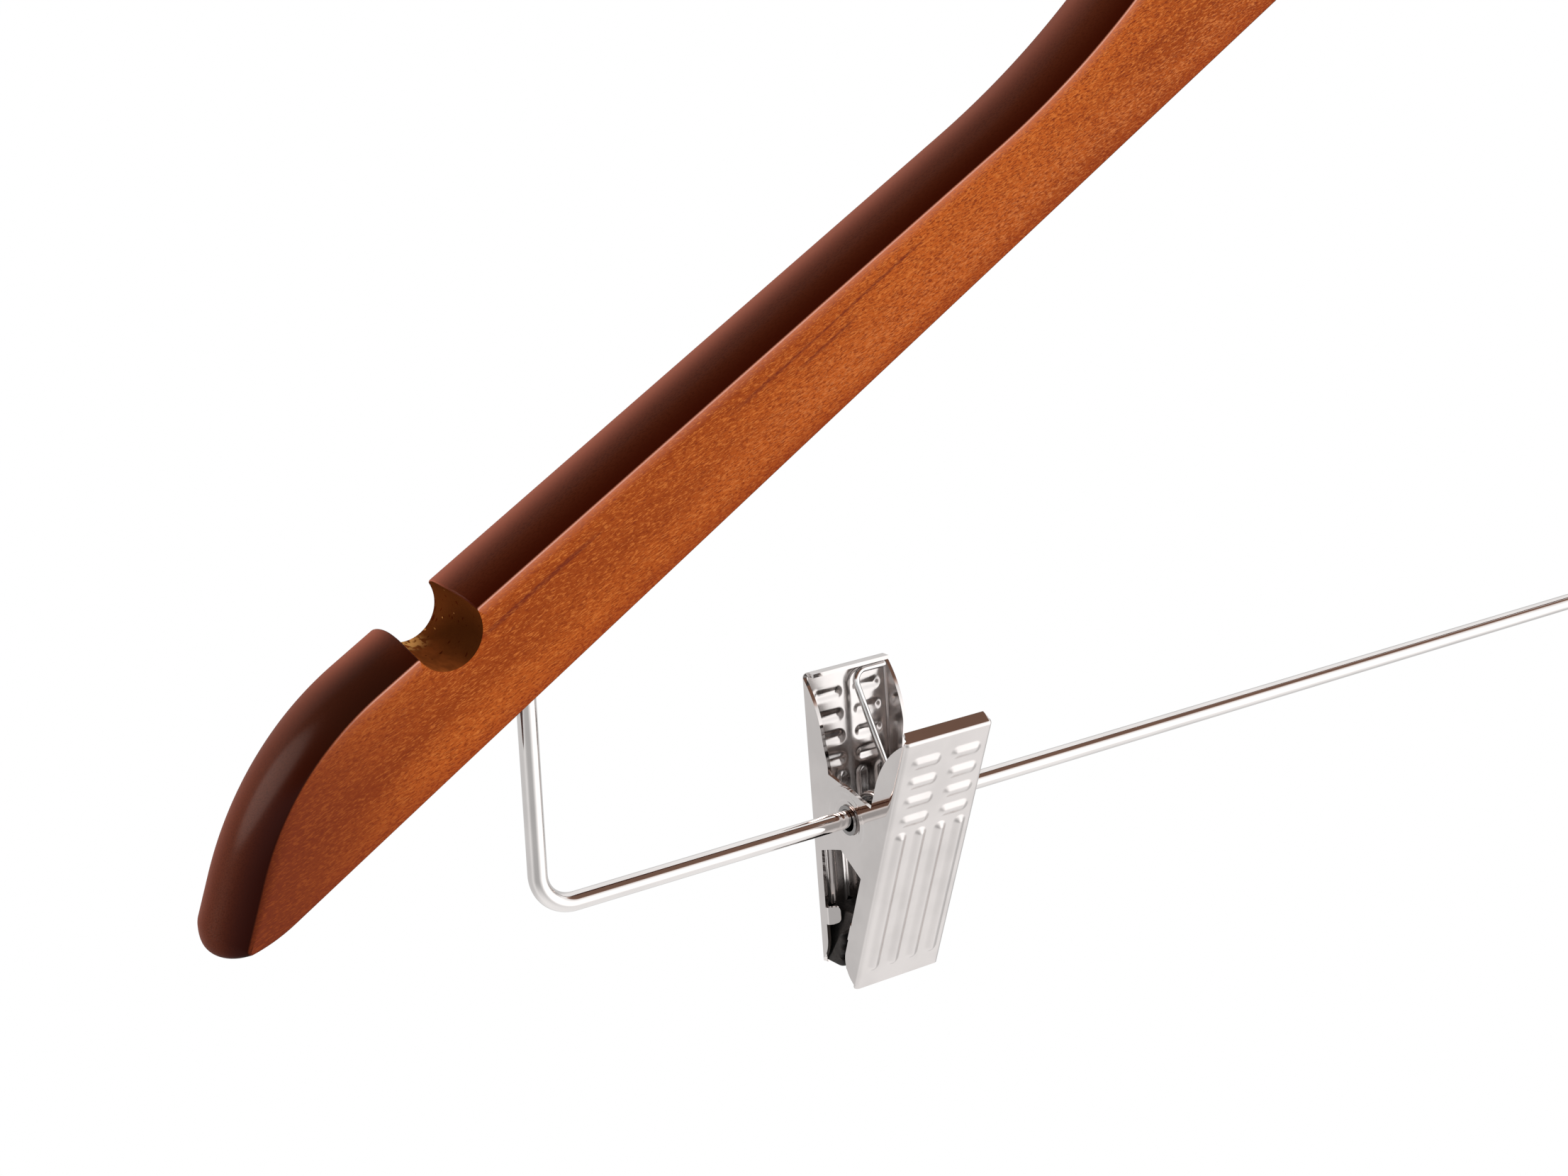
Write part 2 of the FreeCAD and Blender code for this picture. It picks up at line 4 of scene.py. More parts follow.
import bpy
import numpy as np
from mathutils import Matrix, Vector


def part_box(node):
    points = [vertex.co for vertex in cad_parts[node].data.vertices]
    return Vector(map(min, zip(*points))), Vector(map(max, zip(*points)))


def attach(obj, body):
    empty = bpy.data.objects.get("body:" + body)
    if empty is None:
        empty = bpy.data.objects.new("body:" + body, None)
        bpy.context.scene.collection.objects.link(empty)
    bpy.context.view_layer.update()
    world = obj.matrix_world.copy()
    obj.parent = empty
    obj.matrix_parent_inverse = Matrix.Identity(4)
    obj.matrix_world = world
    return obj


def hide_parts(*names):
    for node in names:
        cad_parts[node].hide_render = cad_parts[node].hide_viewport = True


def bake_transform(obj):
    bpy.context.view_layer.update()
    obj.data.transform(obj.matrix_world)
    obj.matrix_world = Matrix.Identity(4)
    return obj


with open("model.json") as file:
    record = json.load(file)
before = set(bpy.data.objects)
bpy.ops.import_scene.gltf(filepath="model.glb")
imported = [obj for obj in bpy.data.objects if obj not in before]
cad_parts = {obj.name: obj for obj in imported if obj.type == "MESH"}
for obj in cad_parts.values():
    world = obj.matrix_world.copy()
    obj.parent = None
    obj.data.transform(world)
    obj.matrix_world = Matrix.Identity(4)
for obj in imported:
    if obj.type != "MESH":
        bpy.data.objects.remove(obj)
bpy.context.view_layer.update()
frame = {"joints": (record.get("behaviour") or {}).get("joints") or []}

mm = 0.001
# wires are this much thinner, so that they stay inside the CAD box
hair = 0.002 * mm
# degrees of the rings that round off a wire's end
roundedEnd = [25, 45, 62, 76, 86]
joints = {joint["name"]: joint for joint in frame["joints"]}


# Meshes from arrays

def numbered(rows, columns):
    # a table of point numbers, row by row
    return np.arange(rows * columns).reshape(rows, columns)


def closed(table):
    # a table of point numbers whose first column comes again at the end
    return np.concatenate([table, table[:, :1]], 1)


def gridFaces(table):
    # quads between neighbouring rows and columns of a table of point numbers
    quads = np.stack([table[:-1, :-1], table[:-1, 1:], table[1:, 1:], table[1:, :-1]], -1)
    return quads.reshape(-1, 4)


def tubeFaces(rows, columns):
    # quads of a grid whose columns close on themselves, and a face over each open end
    table = numbered(rows, columns)
    return gridFaces(closed(table)).tolist() + [table[0][::-1].tolist(), table[-1].tolist()]


def meshPiece(name, points, faces, sharpAngle=40):
    # an object of points and faces, and the numbers of the points that its faces use
    faces = [list(map(int, face)) for face in faces]
    used, place = np.unique(np.concatenate(faces), return_inverse=True)
    starts = np.cumsum([0] + [len(face) for face in faces])
    faces = [place[a:b].tolist() for a, b in zip(starts, starts[1:])]
    mesh = bpy.data.meshes.new(name)
    mesh.from_pydata(np.asarray(points).reshape(-1, 3)[used].tolist(), [], faces)
    mesh.update()
    crisp(mesh, sharpAngle)
    piece = bpy.data.objects.new(name, mesh)
    bpy.context.scene.collection.objects.link(piece)
    return piece, used


def crisp(mesh, sharpAngle):
    # smooth, apart from edges sharper than the angle
    mesh.shade_smooth()
    mesh.set_sharp_from_angle(angle=math.radians(sharpAngle))


def setAttribute(piece, name, values):
    layer = piece.data.attributes.new(name, "FLOAT", "POINT")
    layer.data.foreach_set("value", np.asarray(values, np.float32).ravel())


def applyModifiers(piece, sharpAngle):
    # the mesh as the modifiers leave it takes the place of the old one
    shown = piece.evaluated_get(bpy.context.evaluated_depsgraph_get())
    mesh = bpy.data.meshes.new_from_object(shown)
    piece.modifiers.clear()
    old = piece.data
    piece.data = mesh
    bpy.data.meshes.remove(old)
    mesh.name = piece.name
    crisp(mesh, sharpAngle)


def dress(piece, materials, body, node):
    # finish, body and the node that the piece stands for
    for material in materials:
        piece.data.materials.append(material)
    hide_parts(node)
    if body:
        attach(piece, body)


def normalised(vectors):
    return vectors / np.linalg.norm(vectors, axis=-1, keepdims=True)


def smoothStep(low, high, value):
    # three times the square of the share less twice its cube
    share = np.clip((value - low) / (high - low), 0, 1)
    return share * share * (3 - 2 * share)


def turnAboutX(points, degrees):
    c, s = cosine(degrees), sine(degrees)
    return points @ np.array([[1, 0, 0], [0, c, s], [0, -s, c]])


def directions(degrees):
    # cosine and sine of each angle
    angle = np.radians(degrees)
    return np.stack([np.cos(angle), np.sin(angle)], -1)


def sine(degrees):
    return math.sin(math.radians(degrees))


def cosine(degrees):
    return math.cos(math.radians(degrees))


def tangent(degrees):
    return math.tan(math.radians(degrees))


def pathTangents(path):
    # halfway between the steps before and after each point
    steps = normalised(np.diff(path, axis=0))
    return normalised(np.concatenate([steps[:1], steps[:-1] + steps[1:], steps[-1:]]))


def wireAlong(name, path, radius, sides, across):
    # a circle carried along a path, each ring square to the path, with rounded ends
    tangents = pathTangents(path)
    radii = np.broadcast_to(radius, len(path)) - hair
    across = np.broadcast_to(across, path.shape)
    bulge = np.radians(roundedEnd)
    first = path[0] - radii[0] * np.sin(bulge[::-1])[:, None] * tangents[0]
    last = path[-1] + radii[-1] * np.sin(bulge)[:, None] * tangents[-1]
    path = np.concatenate([first, path, last])
    radii = np.concatenate([radii[0] * np.cos(bulge[::-1]), radii, radii[-1] * np.cos(bulge)])
    ends = ((len(bulge), len(bulge)), (0, 0))
    tangents, across = (np.pad(rows, ends, mode="edge") for rows in (tangents, across))
    side = normalised(across - (across * tangents).sum(-1, keepdims=True) * tangents)
    other = np.cross(tangents, side)
    turn = directions(np.arange(sides) * 360 / sides)
    ring = turn[None, :, :1] * side[:, None] + turn[None, :, 1:] * other[:, None]
    points = path[:, None] + radii[:, None, None] * ring
    return meshPiece(name, points, tubeFaces(len(path), sides))[0]


def roundedCorner(before, corner, after, radius, count):
    # arc of the radius that touches both runs of a corner
    before, corner, after = (np.asarray(p, float) for p in (before, corner, after))
    inWay = normalised(corner - before)
    outWay = normalised(after - corner)
    turn = math.acos(float(inWay @ outWay))
    start = corner - inWay * radius * math.tan(turn / 2)
    aside = normalised(outWay - inWay * float(inWay @ outWay))
    angle = np.linspace(0, turn, count)[:, None]
    return start + radius * (np.sin(angle) * inWay + (1 - np.cos(angle)) * aside)


def turned(profile, sides, axis):
    # a closed outline of (along, radius) points turned about the axis
    along, radius = np.asarray(profile, float).T
    circle = directions(np.arange(sides) * 360 / sides)
    ringA = radius[:, None] * circle[None, :, 0]
    ringB = radius[:, None] * circle[None, :, 1]
    middle = np.broadcast_to(along[:, None], ringA.shape)
    order = (ringA, ringB, middle) if axis == "z" else (middle, ringA, ringB)
    table = numbered(len(profile), sides)
    faces = gridFaces(closed(np.concatenate([table, table[:1]])))
    return np.stack(order, -1).reshape(-1, 3), faces


# Shader maths

class Value:
    # a shader socket: arithmetic on it adds Math nodes

    def __init__(self, tree, socket):
        self.tree = tree
        self.socket = socket

    def node(self, kind, settings=None, inputs=None, output=0):
        made = self.tree.nodes.new(kind)
        for key, value in (settings or {}).items():
            setattr(made, key, value)
        for key, value in (inputs or {}).items():
            if isinstance(value, Value):
                self.tree.links.new(value.socket, made.inputs[key])
            else:
                made.inputs[key].default_value = value
        return Value(self.tree, made.outputs[output])

    def other(self, output):
        # another output of the node that this value comes from
        return Value(self.tree, self.socket.node.outputs[output])

    def maths(self, operation, *others):
        values = dict(enumerate((self, *others)))
        return self.node("ShaderNodeMath", {"operation": operation}, values)

    def __add__(self, other):
        return self.maths("ADD", other)

    def __sub__(self, other):
        return self.maths("SUBTRACT", other)

    def __rsub__(self, other):
        return self.node("ShaderNodeMath", {"operation": "SUBTRACT"}, {0: other, 1: self})

    def __mul__(self, other):
        return self.maths("MULTIPLY", other)

    __radd__ = __add__
    __rmul__ = __mul__

    def ranged(self, low, high, toLow=0.0, toHigh=1.0):
        # a smooth step from the low to the high value
        return self.node("ShaderNodeMapRange", {"interpolation_type": "SMOOTHSTEP"},
                         {0: self, 1: low, 2: high, 3: toLow, 4: toHigh})

    def between(self, first, second):
        # colour mix, with this value as the share of the second
        colours = {6: asColour(first), 7: asColour(second)}
        return self.node("ShaderNodeMix", {"data_type": "RGBA"}, {0: self, **colours}, 2)

    def vector(self, operation, *values, output=0):
        return self.node("ShaderNodeVectorMath", {"operation": operation}, dict(enumerate(values)), output)

    def apart(self):
        # the first part of a vector; other(1) and other(2) are the rest
        return self.node("ShaderNodeSeparateXYZ", inputs={0: self})

    def place(self):
        # object coordinates
        return self.node("ShaderNodeTexCoord", output=3)

    def share(self, attribute):
        # a value that the mesh holds for each of its points
        return self.node("ShaderNodeAttribute", {"attribute_name": attribute}, output=2)

    def noise(self, place, scale, detail=2.0, rough=0.5):
        return self.node("ShaderNodeTexNoise", inputs={"Vector": place, "Scale": scale, "Detail": detail,
                                                       "Roughness": rough})

    def bump(self, height, strength, distance):
        return self.node("ShaderNodeBump", inputs={"Height": height, "Strength": strength,
                                                   "Distance": distance})


def asColour(colour):
    return colour if isinstance(colour, Value) else (*colour, 1)


def linear(red, green, blue):
    # a screen colour of 0 to 255 as the shader's linear colour
    share = np.array([red, green, blue]) / 255
    curved = ((share + 0.055) / 1.055) ** 2.4
    return tuple(float(c) for c in np.where(share > 0.04045, curved, share / 12.92))


def newMaterial(name, constants):
    # constants go straight onto the sockets of the surface
    material = bpy.data.materials.new(name)
    material.use_nodes = True
    tree = material.node_tree
    surface = tree.nodes["Principled BSDF"]
    for socket, value in constants.items():
        surface.inputs[socket].default_value = value
    return material, Value(tree, None), surface


def feed(start, surface, links):
    for socket, value in links.items():
        start.tree.links.new(value.socket, surface.inputs[socket])


# Wood finish

woodLook = {
    "face": linear(190, 94, 38),
    "faceDeep": linear(138, 57, 23),
    "faceLight": linear(212, 122, 58),
    "tip": linear(107, 48, 34),
    "streak": linear(112, 44, 30),
    # a painted sheen in a band along the face
    "sheen": linear(200, 126, 88),
    # painted highlight: a pale line along the arris
    "arris": linear(238, 188, 172),
    # painted highlight in a band along the face's rim below the arris
    "rim": linear(196, 118, 90),
    "lowBand": linear(136, 52, 26),
    # the edge's colours are partly a darker stain on the narrow edges and partly painted shade
    "edge": linear(69, 31, 17),
    "edgeDeep": linear(52, 21, 10),
    # painted shade behind the arris, and the colour of the small holes in the notch
    "holeAndShadeDark": linear(48, 9, 1),
    # painted reflection of the bright room along the rear of the crown
    "edgeRearReflection": linear(122, 69, 53),
    # painted shade behind the arris towards the tip
    "edgeTip": linear(30, 4, 1),
    # painted shade on the crown from the notch to the shoulder
    "edgeShoulderShade": linear(40, 17, 9),
    "notch": linear(65, 33, 11),
    "notchLow": linear(160, 84, 38),
    "rawBits": linear(196, 146, 84),
    # how far the arm, the grain and the underside lean
    "armTurn": 31.0,
    "grainTurn": 22.0,
    "lowTurn": 31.7,
    "lowWidth": 0.003,
    # what each noise follows, its scale along, through and across that, its detail and its roughness
    "clouds": {
        "broad": ("arm", (14, 40, 90), 3.0, 0.5),
        "line": ("arm", (22, 150, 700), 2.0, 0.5),
        "fleck": ("grain", (1900, 3800, 7200), 2.0, 0.6),
        "dash": ("grain", (1500, 3000, 7000), 2.0, 0.55),
        "pore": ("grain", (800, 3000, 7600), 1.0, 0.5),
        "grit": ("piece", (900, 320, 900), 2.0, 0.5),
        "chips": ("piece", (1500, 700, 1500), 1.0, 0.5),
        "hole": ("piece", (1100, 1100, 1100), 0.0, 0.5),
    },
    # distances from the middle: the tip gets darker, and the grain shows more towards the head
    "tipFade": (0.184, 0.228),
    "grainFade": (0.06, 0.18),
    # place across the arm and half width of the painted sheen band, and the distances over which it fades
    # towards the tip
    "sheenBand": (-0.0815, 0.0055),
    "sheenFade": (0.125, 0.165),
    # from, to and place of each dark streak along and across the arm
    "streaks": [(-0.214, -0.172, -0.0740), (-0.203, -0.186, -0.0762), (-0.262, -0.236, -0.0742)],
    "streakWidth": 0.0006,
    "streakFade": 0.006,
    "streakWander": 0.0022,
}


def woodGrain(start, side):
    # the noises and the places that the wood's colours follow
    look = woodLook
    place = start.place()

    def leaning(degrees):
        turn = (0, math.radians(-side * degrees), 0)
        return start.node("ShaderNodeMapping", inputs={"Vector": place, "Rotation": turn})

    ways = {"arm": leaning(look["armTurn"]), "grain": leaning(look["grainTurn"]), "piece": place}
    grain = {}
    for label, (way, scale, detail, rough) in look["clouds"].items():
        sized = start.node("ShaderNodeMapping", inputs={"Vector": ways[way], "Scale": scale})
        grain[label] = start.noise(sized, 1.0, detail, rough)
    byArm = ways["arm"].apart()
    grain["along"] = byArm * -side
    grain["across"] = byArm.other(2)
    grain["level"] = leaning(look["lowTurn"]).apart().other(2)
    sideways = place.apart() * side
    grain["tipward"] = sideways.ranged(*look["tipFade"])
    grain["headward"] = sideways.ranged(*look["grainFade"], 1, 0)
    sheen = (grain["across"] - look["sheenBand"][0]).maths("ABSOLUTE")
    grain["sheen"] = sheen.ranged(0, look["sheenBand"][1], 1, 0) * sideways.ranged(*look["sheenFade"], 1, 0)
    return grain


def woodStreaks(grain):
    # shares of the long dark streaks, which wander a little across the arm
    fade = woodLook["streakFade"]
    wander = (grain["line"] - 0.5) * woodLook["streakWander"]
    strength = 0.45 + grain["fleck"].ranged(0.3, 0.6) * 0.4
    shares = []
    for first, last, level in woodLook["streaks"]:
        near = (grain["across"] - level + wander).maths("ABSOLUTE").ranged(0, woodLook["streakWidth"], 1, 0)
        window = grain["along"].ranged(first, first + fade) * grain["along"].ranged(last - fade, last, 1, 0)
        shares.append(near * window * strength)
    return shares


def layered(base, layers):
    # colours of the wood laid over each other, each by its own share
    colour = woodLook[base]
    for share, tone in layers:
        colour = share.between(colour, woodLook[tone])
    return colour


def woodFace(start, grain):
    # short flecks on lines that lean a little less than the arm, with a few long streaks along it
    fleck, dash, tipward, headward = (grain[key] for key in ("fleck", "dash", "tipward", "headward"))
    lowBand = (grain["level"] - woodLow).ranged(0, woodLook["lowWidth"], 1, 0)
    return layered("face", [
        (grain["broad"].ranged(0.35, 0.75), "faceDeep"),
        (grain["line"].ranged(0.55, 0.8) * 0.3, "faceDeep"),
        (fleck.ranged(0.44, 0.66) * 0.9, "faceDeep"),
        (dash.ranged(0.5, 0.7) * (0.75 - tipward * 0.4), "faceLight"),
        (headward * fleck.ranged(0.5, 0.64) * 0.4, "streak"),
        (headward * dash.ranged(0.5, 0.66) * 0.5, "faceLight"),
        (grain["pore"].ranged(0.64, 0.76) * 0.65, "streak"),
        # painted sheen
        (grain["sheen"] * dash.ranged(0.42, 0.7) * 0.22, "sheen"),
        *((share, "streak") for share in woodStreaks(grain)),
        (lowBand * (0.35 + fleck.ranged(0.3, 0.7) * 0.4), "lowBand"),
        (tipward * 0.92, "tip"),
        (tipward * dash.ranged(0.46, 0.66) * 0.2, "face"),
        # painted highlight along the face's rim
        (start.share("rimHighlightShare") * (0.4 + fleck.ranged(0.35, 0.7) * 0.45), "rim"),
        # the face's rim at the nose and tip is darkened with the same dark colour
        (start.share("tipRimShare") * 0.45, "holeAndShadeDark"),
    ])


def woodEdge(start, grain):
    # partly a darker stain on the narrow edges and partly painted shade: darkest behind the arris, and
    # paler towards the back by a painted reflection
    dark = start.share("arrisShadeShare")
    return layered("edge", [
        (grain["fleck"].ranged(0.4, 0.7) * 0.6 + grain["broad"].ranged(0.3, 0.7) * 0.4, "edgeDeep"),
        (dark * 0.9, "holeAndShadeDark"),
        (dark * grain["tipward"] * 0.8, "edgeTip"),
        (start.share("shoulderShadeShare") * 0.75, "edgeShoulderShade"),
        # painted reflection on the rear of the crown
        (start.share("rearReflectionShare"), "edgeRearReflection"),
    ])


def woodCut(start, grain):
    # the notch: paler below, with grit, small holes and raw chips
    grit = grain["grit"]
    return layered("notch", [
        (grain["fleck"].ranged(0.4, 0.7) * 0.4, "edgeDeep"),
        (start.share("notchLow") * (0.5 + grit.ranged(0.35, 0.7) * 0.5), "notchLow"),
        (grit.ranged(0.68, 0.74) * 0.4, "rawBits"),
        (grain["hole"].ranged(0.74, 0.78) * 0.8, "holeAndShadeDark"),
        (start.share("chipShare") * grain["chips"].ranged(0.42, 0.54), "rawBits"),
    ])


def woodMaterial(name, side):
    # the edge over the face, a painted highlight along the arris, and the cut of the notch over them
    constants = {"IOR": 1.45, "Coat Roughness": 0.2, "Coat IOR": 1.45, "Specular IOR Level": 0.0}
    material, start, surface = newMaterial(name, constants)
    grain = woodGrain(start, side)
    edge, notch = start.share("edgeShare"), start.share("notchShare")
    arris = start.share("arrisHighlightShare") * (0.55 + grain["line"].ranged(0.4, 0.7) * 0.3)
    colour = edge.between(woodFace(start, grain), woodEdge(start, grain))
    colour = arris.between(colour, woodLook["arris"])
    colour = notch.between(colour, woodCut(start, grain))
    rough = 0.42 + grain["fleck"].ranged(0.3, 0.7) * 0.1 + notch * 0.35
    coat = (0.03 + edge * (0.08 + start.share("bendShare") * 0.07)) * (1 - notch)
    bump = start.bump((grain["fleck"] + grain["dash"]) * 0.5, 0.06, 0.0003)
    feed(start, surface, {"Base Color": colour, "Roughness": rough, "Coat Weight": coat, "Normal": bump})
    return material


# Metal and rubber finishes

# roughness where smooth and where dull, scale of the clouds and strength of the relief
metalLook = {
    "bright": dict(tint=(0.82, 0.785, 0.768), smooth=0.05, dull=0.11, cloudSize=60, relief=0.006),
    "sheet": dict(tint=(0.765, 0.722, 0.705), smooth=0.04, dull=0.3, cloudSize=90, relief=0.006),
    "inside": dict(tint=(0.74, 0.70, 0.685), smooth=0.15, dull=0.21, cloudSize=120, relief=0.0003),
    # a darker copy of the plated steel: painted shade inside the front jaw and on the hinge tube
    "shaded": dict(tint=(0.36, 0.345, 0.34), smooth=0.08, dull=0.16, cloudSize=120, relief=0.0003),
    "spring": dict(tint=(0.86, 0.85, 0.845), smooth=0.08, dull=0.18, cloudSize=200, relief=0.006),
}


def metalMaterial(name, kind, satin=None):
    # plated steel, cloudier where the attribute says that it is satin
    look = metalLook[kind]
    material, start, surface = newMaterial(name, {"Metallic": 1.0, "IOR": 2.5})
    place = start.place()
    stretched = start.node("ShaderNodeMapping", inputs={"Vector": place, "Scale": (1.0, 1.0, 0.35)})
    cloud = start.noise(stretched, look["cloudSize"] * 10.0, 4.0, 0.6)
    wear = start.noise(place, look["cloudSize"] * 1.6, 3.0)
    share = cloud.ranged(0.35, 0.75) * 0.35 + wear.ranged(0.4, 0.75) * 0.3
    if satin:
        share = share * 0.2 + start.share(satin) * 0.65
    dark = tuple(c * 0.93 for c in look["tint"])
    colour = wear.ranged(0.35, 0.7).between(look["tint"], dark)
    rough = look["smooth"] + share * (look["dull"] - look["smooth"])
    bump = start.bump(cloud, look["relief"], 0.0001)
    feed(start, surface, {"Base Color": colour, "Roughness": rough, "Normal": bump})
    return material


rubberLook = {"tone": linear(22, 21, 21), "dust": linear(48, 46, 44)}


def rubberMaterial(name):
    # gritty all over and dusty in smears
    material, start, surface = newMaterial(name, {"IOR": 1.5, "Specular IOR Level": 0.35})
    place = start.place()
    grit = start.noise(place, 2600.0)
    smear = start.noise(place, 240.0, 3.0)
    colour = (smear.ranged(0.45, 0.8) * 0.6).between(rubberLook["tone"], rubberLook["dust"])
    rough = 0.5 + grit.ranged(0.3, 0.7) * 0.2
    bump = start.bump(grit, 0.25, 0.0001)
    feed(start, surface, {"Base Color": colour, "Roughness": rough, "Normal": bump})
    return material


brightMetal = metalMaterial("brightWire", "bright")
sheetMetal = metalMaterial("pressedSheet", "sheet", "satinShare")
insideMetal = metalMaterial("sheetInside", "inside")
shadedMetal = metalMaterial("shadedInside", "shaded")
springMetal = metalMaterial("springWire", "spring")
padRubber = rubberMaterial("padRubber")
print("finishes made")


# Wooden arms

wireRadius = 1.45 * mm
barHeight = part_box("trouser_bar")[0].z + wireRadius
arm = {
    "thickness": 15.0 * mm,
    "crown": 2.2 * mm,
    "uprightSpan": 350.0 * mm,
    "depth": 19.0 * mm,
    "barDrop": 36.9 * mm,
    "undersideSlope": 31.7,
    "topSlope": 30.4,
    "neckReach": 97.0 * mm,
    "neckRadius": 150.0 * mm,
    "neckAngle": 58.0,
    "apexRadius": 60.0 * mm,
    "shoulderOverhang": 25.3 * mm,
    "shoulderRadius": 40.4 * mm,
    "shoulderSwell": 6.5 * mm,
    "noseAngle": 70.4,
    "tipRadius": 1.5 * mm,
    "tipFaceRadius": 0.5 * mm,
    "tipFlat": 0.33,
    "tipFlatFrom": 165.0,
    "tipShrink": 0.7,
    "tipFill": 0.85 * mm,
    "tipFillAt": (226.0, 28.0),
    "heelAngle": 284.0,
    "heelRadius": 21.5 * mm,
    "notchOverhang": 14.5 * mm,
    "notchRadius": 5.1 * mm,
    "notchLip": 0.3 * mm,
    "notchArris": 0.3 * mm,
    "arris": 0.55 * mm,
    "faceMargin": 1.5 * mm,
    "faceDrop": 0.1 * mm,
    "sharpAngle": 35,
    # rows of the profile on the face's rim, round the arris and over half the crown
    "rows": (5, 8, 12),
    # rows where the edge's colour begins, where the painted highlight on the arris lies, and where the
    # painted shade behind it starts and ends
    "edgeRows": (7.5, 10.5),
    "highlightRow": 7,
    "highlightSpread": 1.2,
    "shadeRows": ((8, 11), (12, 20)),
    # columns of the outline's stretches, in their order
    "columns": {"head": 26, "neck": 40, "topRun": 46, "lip": 6, "bowl": 34, "backRun": 6, "shoulder": 40,
                "noseRun": 10, "tip": 40, "heel": 10, "lowRun": 70, "apex": 16},
    # columns over which colours change: before and after the place, or on one side of it
    "fades": {"neck": (13, 9), "notch": 4, "shoulder": (4, 26), "shoulderTop": 8, "nose": 20,
              "tip": (18, 30)},
}


# level of the underside in the wood's own turned coordinates
woodLow = ((barHeight + arm["barDrop"]) * cosine(woodLook["lowTurn"])
           + arm["uprightSpan"] / 2 * sine(woodLook["lowTurn"]))


def armProfile():
    # rows from the front face to the back: depth, outward growth of the edges, growth of the notch,
    # and the shares of edge colour, of the painted highlight along the face's rim and on the arris, and of
    # the painted shade behind it
    half, crown, arris = arm["thickness"] / 2, arm["crown"], arm["arris"]
    faceRows, arrisRows, crownRows = arm["rows"]
    crownRadius = (half * half + crown * crown) / (2 * crown)
    centre = crown - crownRadius
    fold = centre + math.sqrt((crownRadius - arris) ** 2 - (half - arris) ** 2)
    foldAngle = math.degrees(math.atan2(half - arris, fold - centre))
    inset = np.linspace(1, 0, faceRows + 1)[:-1]
    arrisTurn = directions(np.linspace(90, foldAngle, arrisRows))
    crownTurn = directions(np.linspace(foldAngle, 0, crownRows + 1))[1:]
    growth = np.concatenate([fold - arm["faceMargin"] * inset, fold + arris * arrisTurn[:, 0],
                             centre + crownRadius * crownTurn[:, 0]])
    depth = np.concatenate([np.full(faceRows, half), half - arris + arris * arrisTurn[:, 1],
                            crownRadius * crownTurn[:, 1]])
    # the face falls away a little towards its rim
    near = np.clip(1 - (fold - growth) / arm["faceMargin"], 0, 1)
    depth = depth - arm["faceDrop"] * smoothStep(0, 1, near) * (depth / half) ** 8
    # the notch has its own small arris
    near = np.clip(depth - (half - arm["notchArris"]), 0, arm["notchArris"])
    notch = arm["notchArris"] - np.sqrt(arm["notchArris"] ** 2 - near ** 2)
    notch[:faceRows] += arm["faceMargin"] * inset * 0.5
    count = np.arange(len(depth))
    shadeIn, shadeOut = arm["shadeRows"]
    rows = {
        "depth": -depth,
        "growth": growth,
        "notch": notch,
        "edge": smoothStep(*arm["edgeRows"], count),
        "rim": np.clip(1 - np.concatenate([inset, np.zeros(len(depth) - faceRows)]), 0, 1) ** 1.5,
        # the painted highlight along the arris
        "line": np.exp(-((count - arm["highlightRow"]) / arm["highlightSpread"]) ** 2),
        # the painted shade on the crown behind the arris
        "shade": smoothStep(*shadeIn, count) * (1 - smoothStep(*shadeOut, count)),
    }
    rows = {key: np.concatenate([row, row[-2::-1]]) for key, row in rows.items()}
    rows["depth"][len(depth):] *= -1
    return rows


def notchOutline(rows, centre, along, outward):
    # a round cut whose corners with the top edge are eased by a small lip
    lip = arm["notchLip"]
    radius = (arm["notchRadius"] + rows["notch"])[:, None]
    lipHeight = rows["growth"][:, None] - lip
    lipReach = np.sqrt((radius + lip) ** 2 - lipHeight ** 2)
    lean = np.degrees(np.arctan2(lipHeight, lipReach))
    lipTurn = np.radians(90 - (lean + 90) * np.linspace(0, 1, arm["columns"]["lip"])[None])
    lipAlong = lip * np.cos(lipTurn) - lipReach
    lipUp = lipHeight + lip * np.sin(lipTurn)
    bowl = np.radians(180 - lean + (180 + 2 * lean) * np.linspace(0, 1, arm["columns"]["bowl"])[None])
    alongAll = np.concatenate([lipAlong, radius * np.cos(bowl)[:, 1:-1], -lipAlong[:, ::-1]], 1)
    upAll = np.concatenate([lipUp, radius * np.sin(bowl)[:, 1:-1], lipUp[:, ::-1]], 1)
    return centre + alongAll[..., None] * along + upAll[..., None] * outward


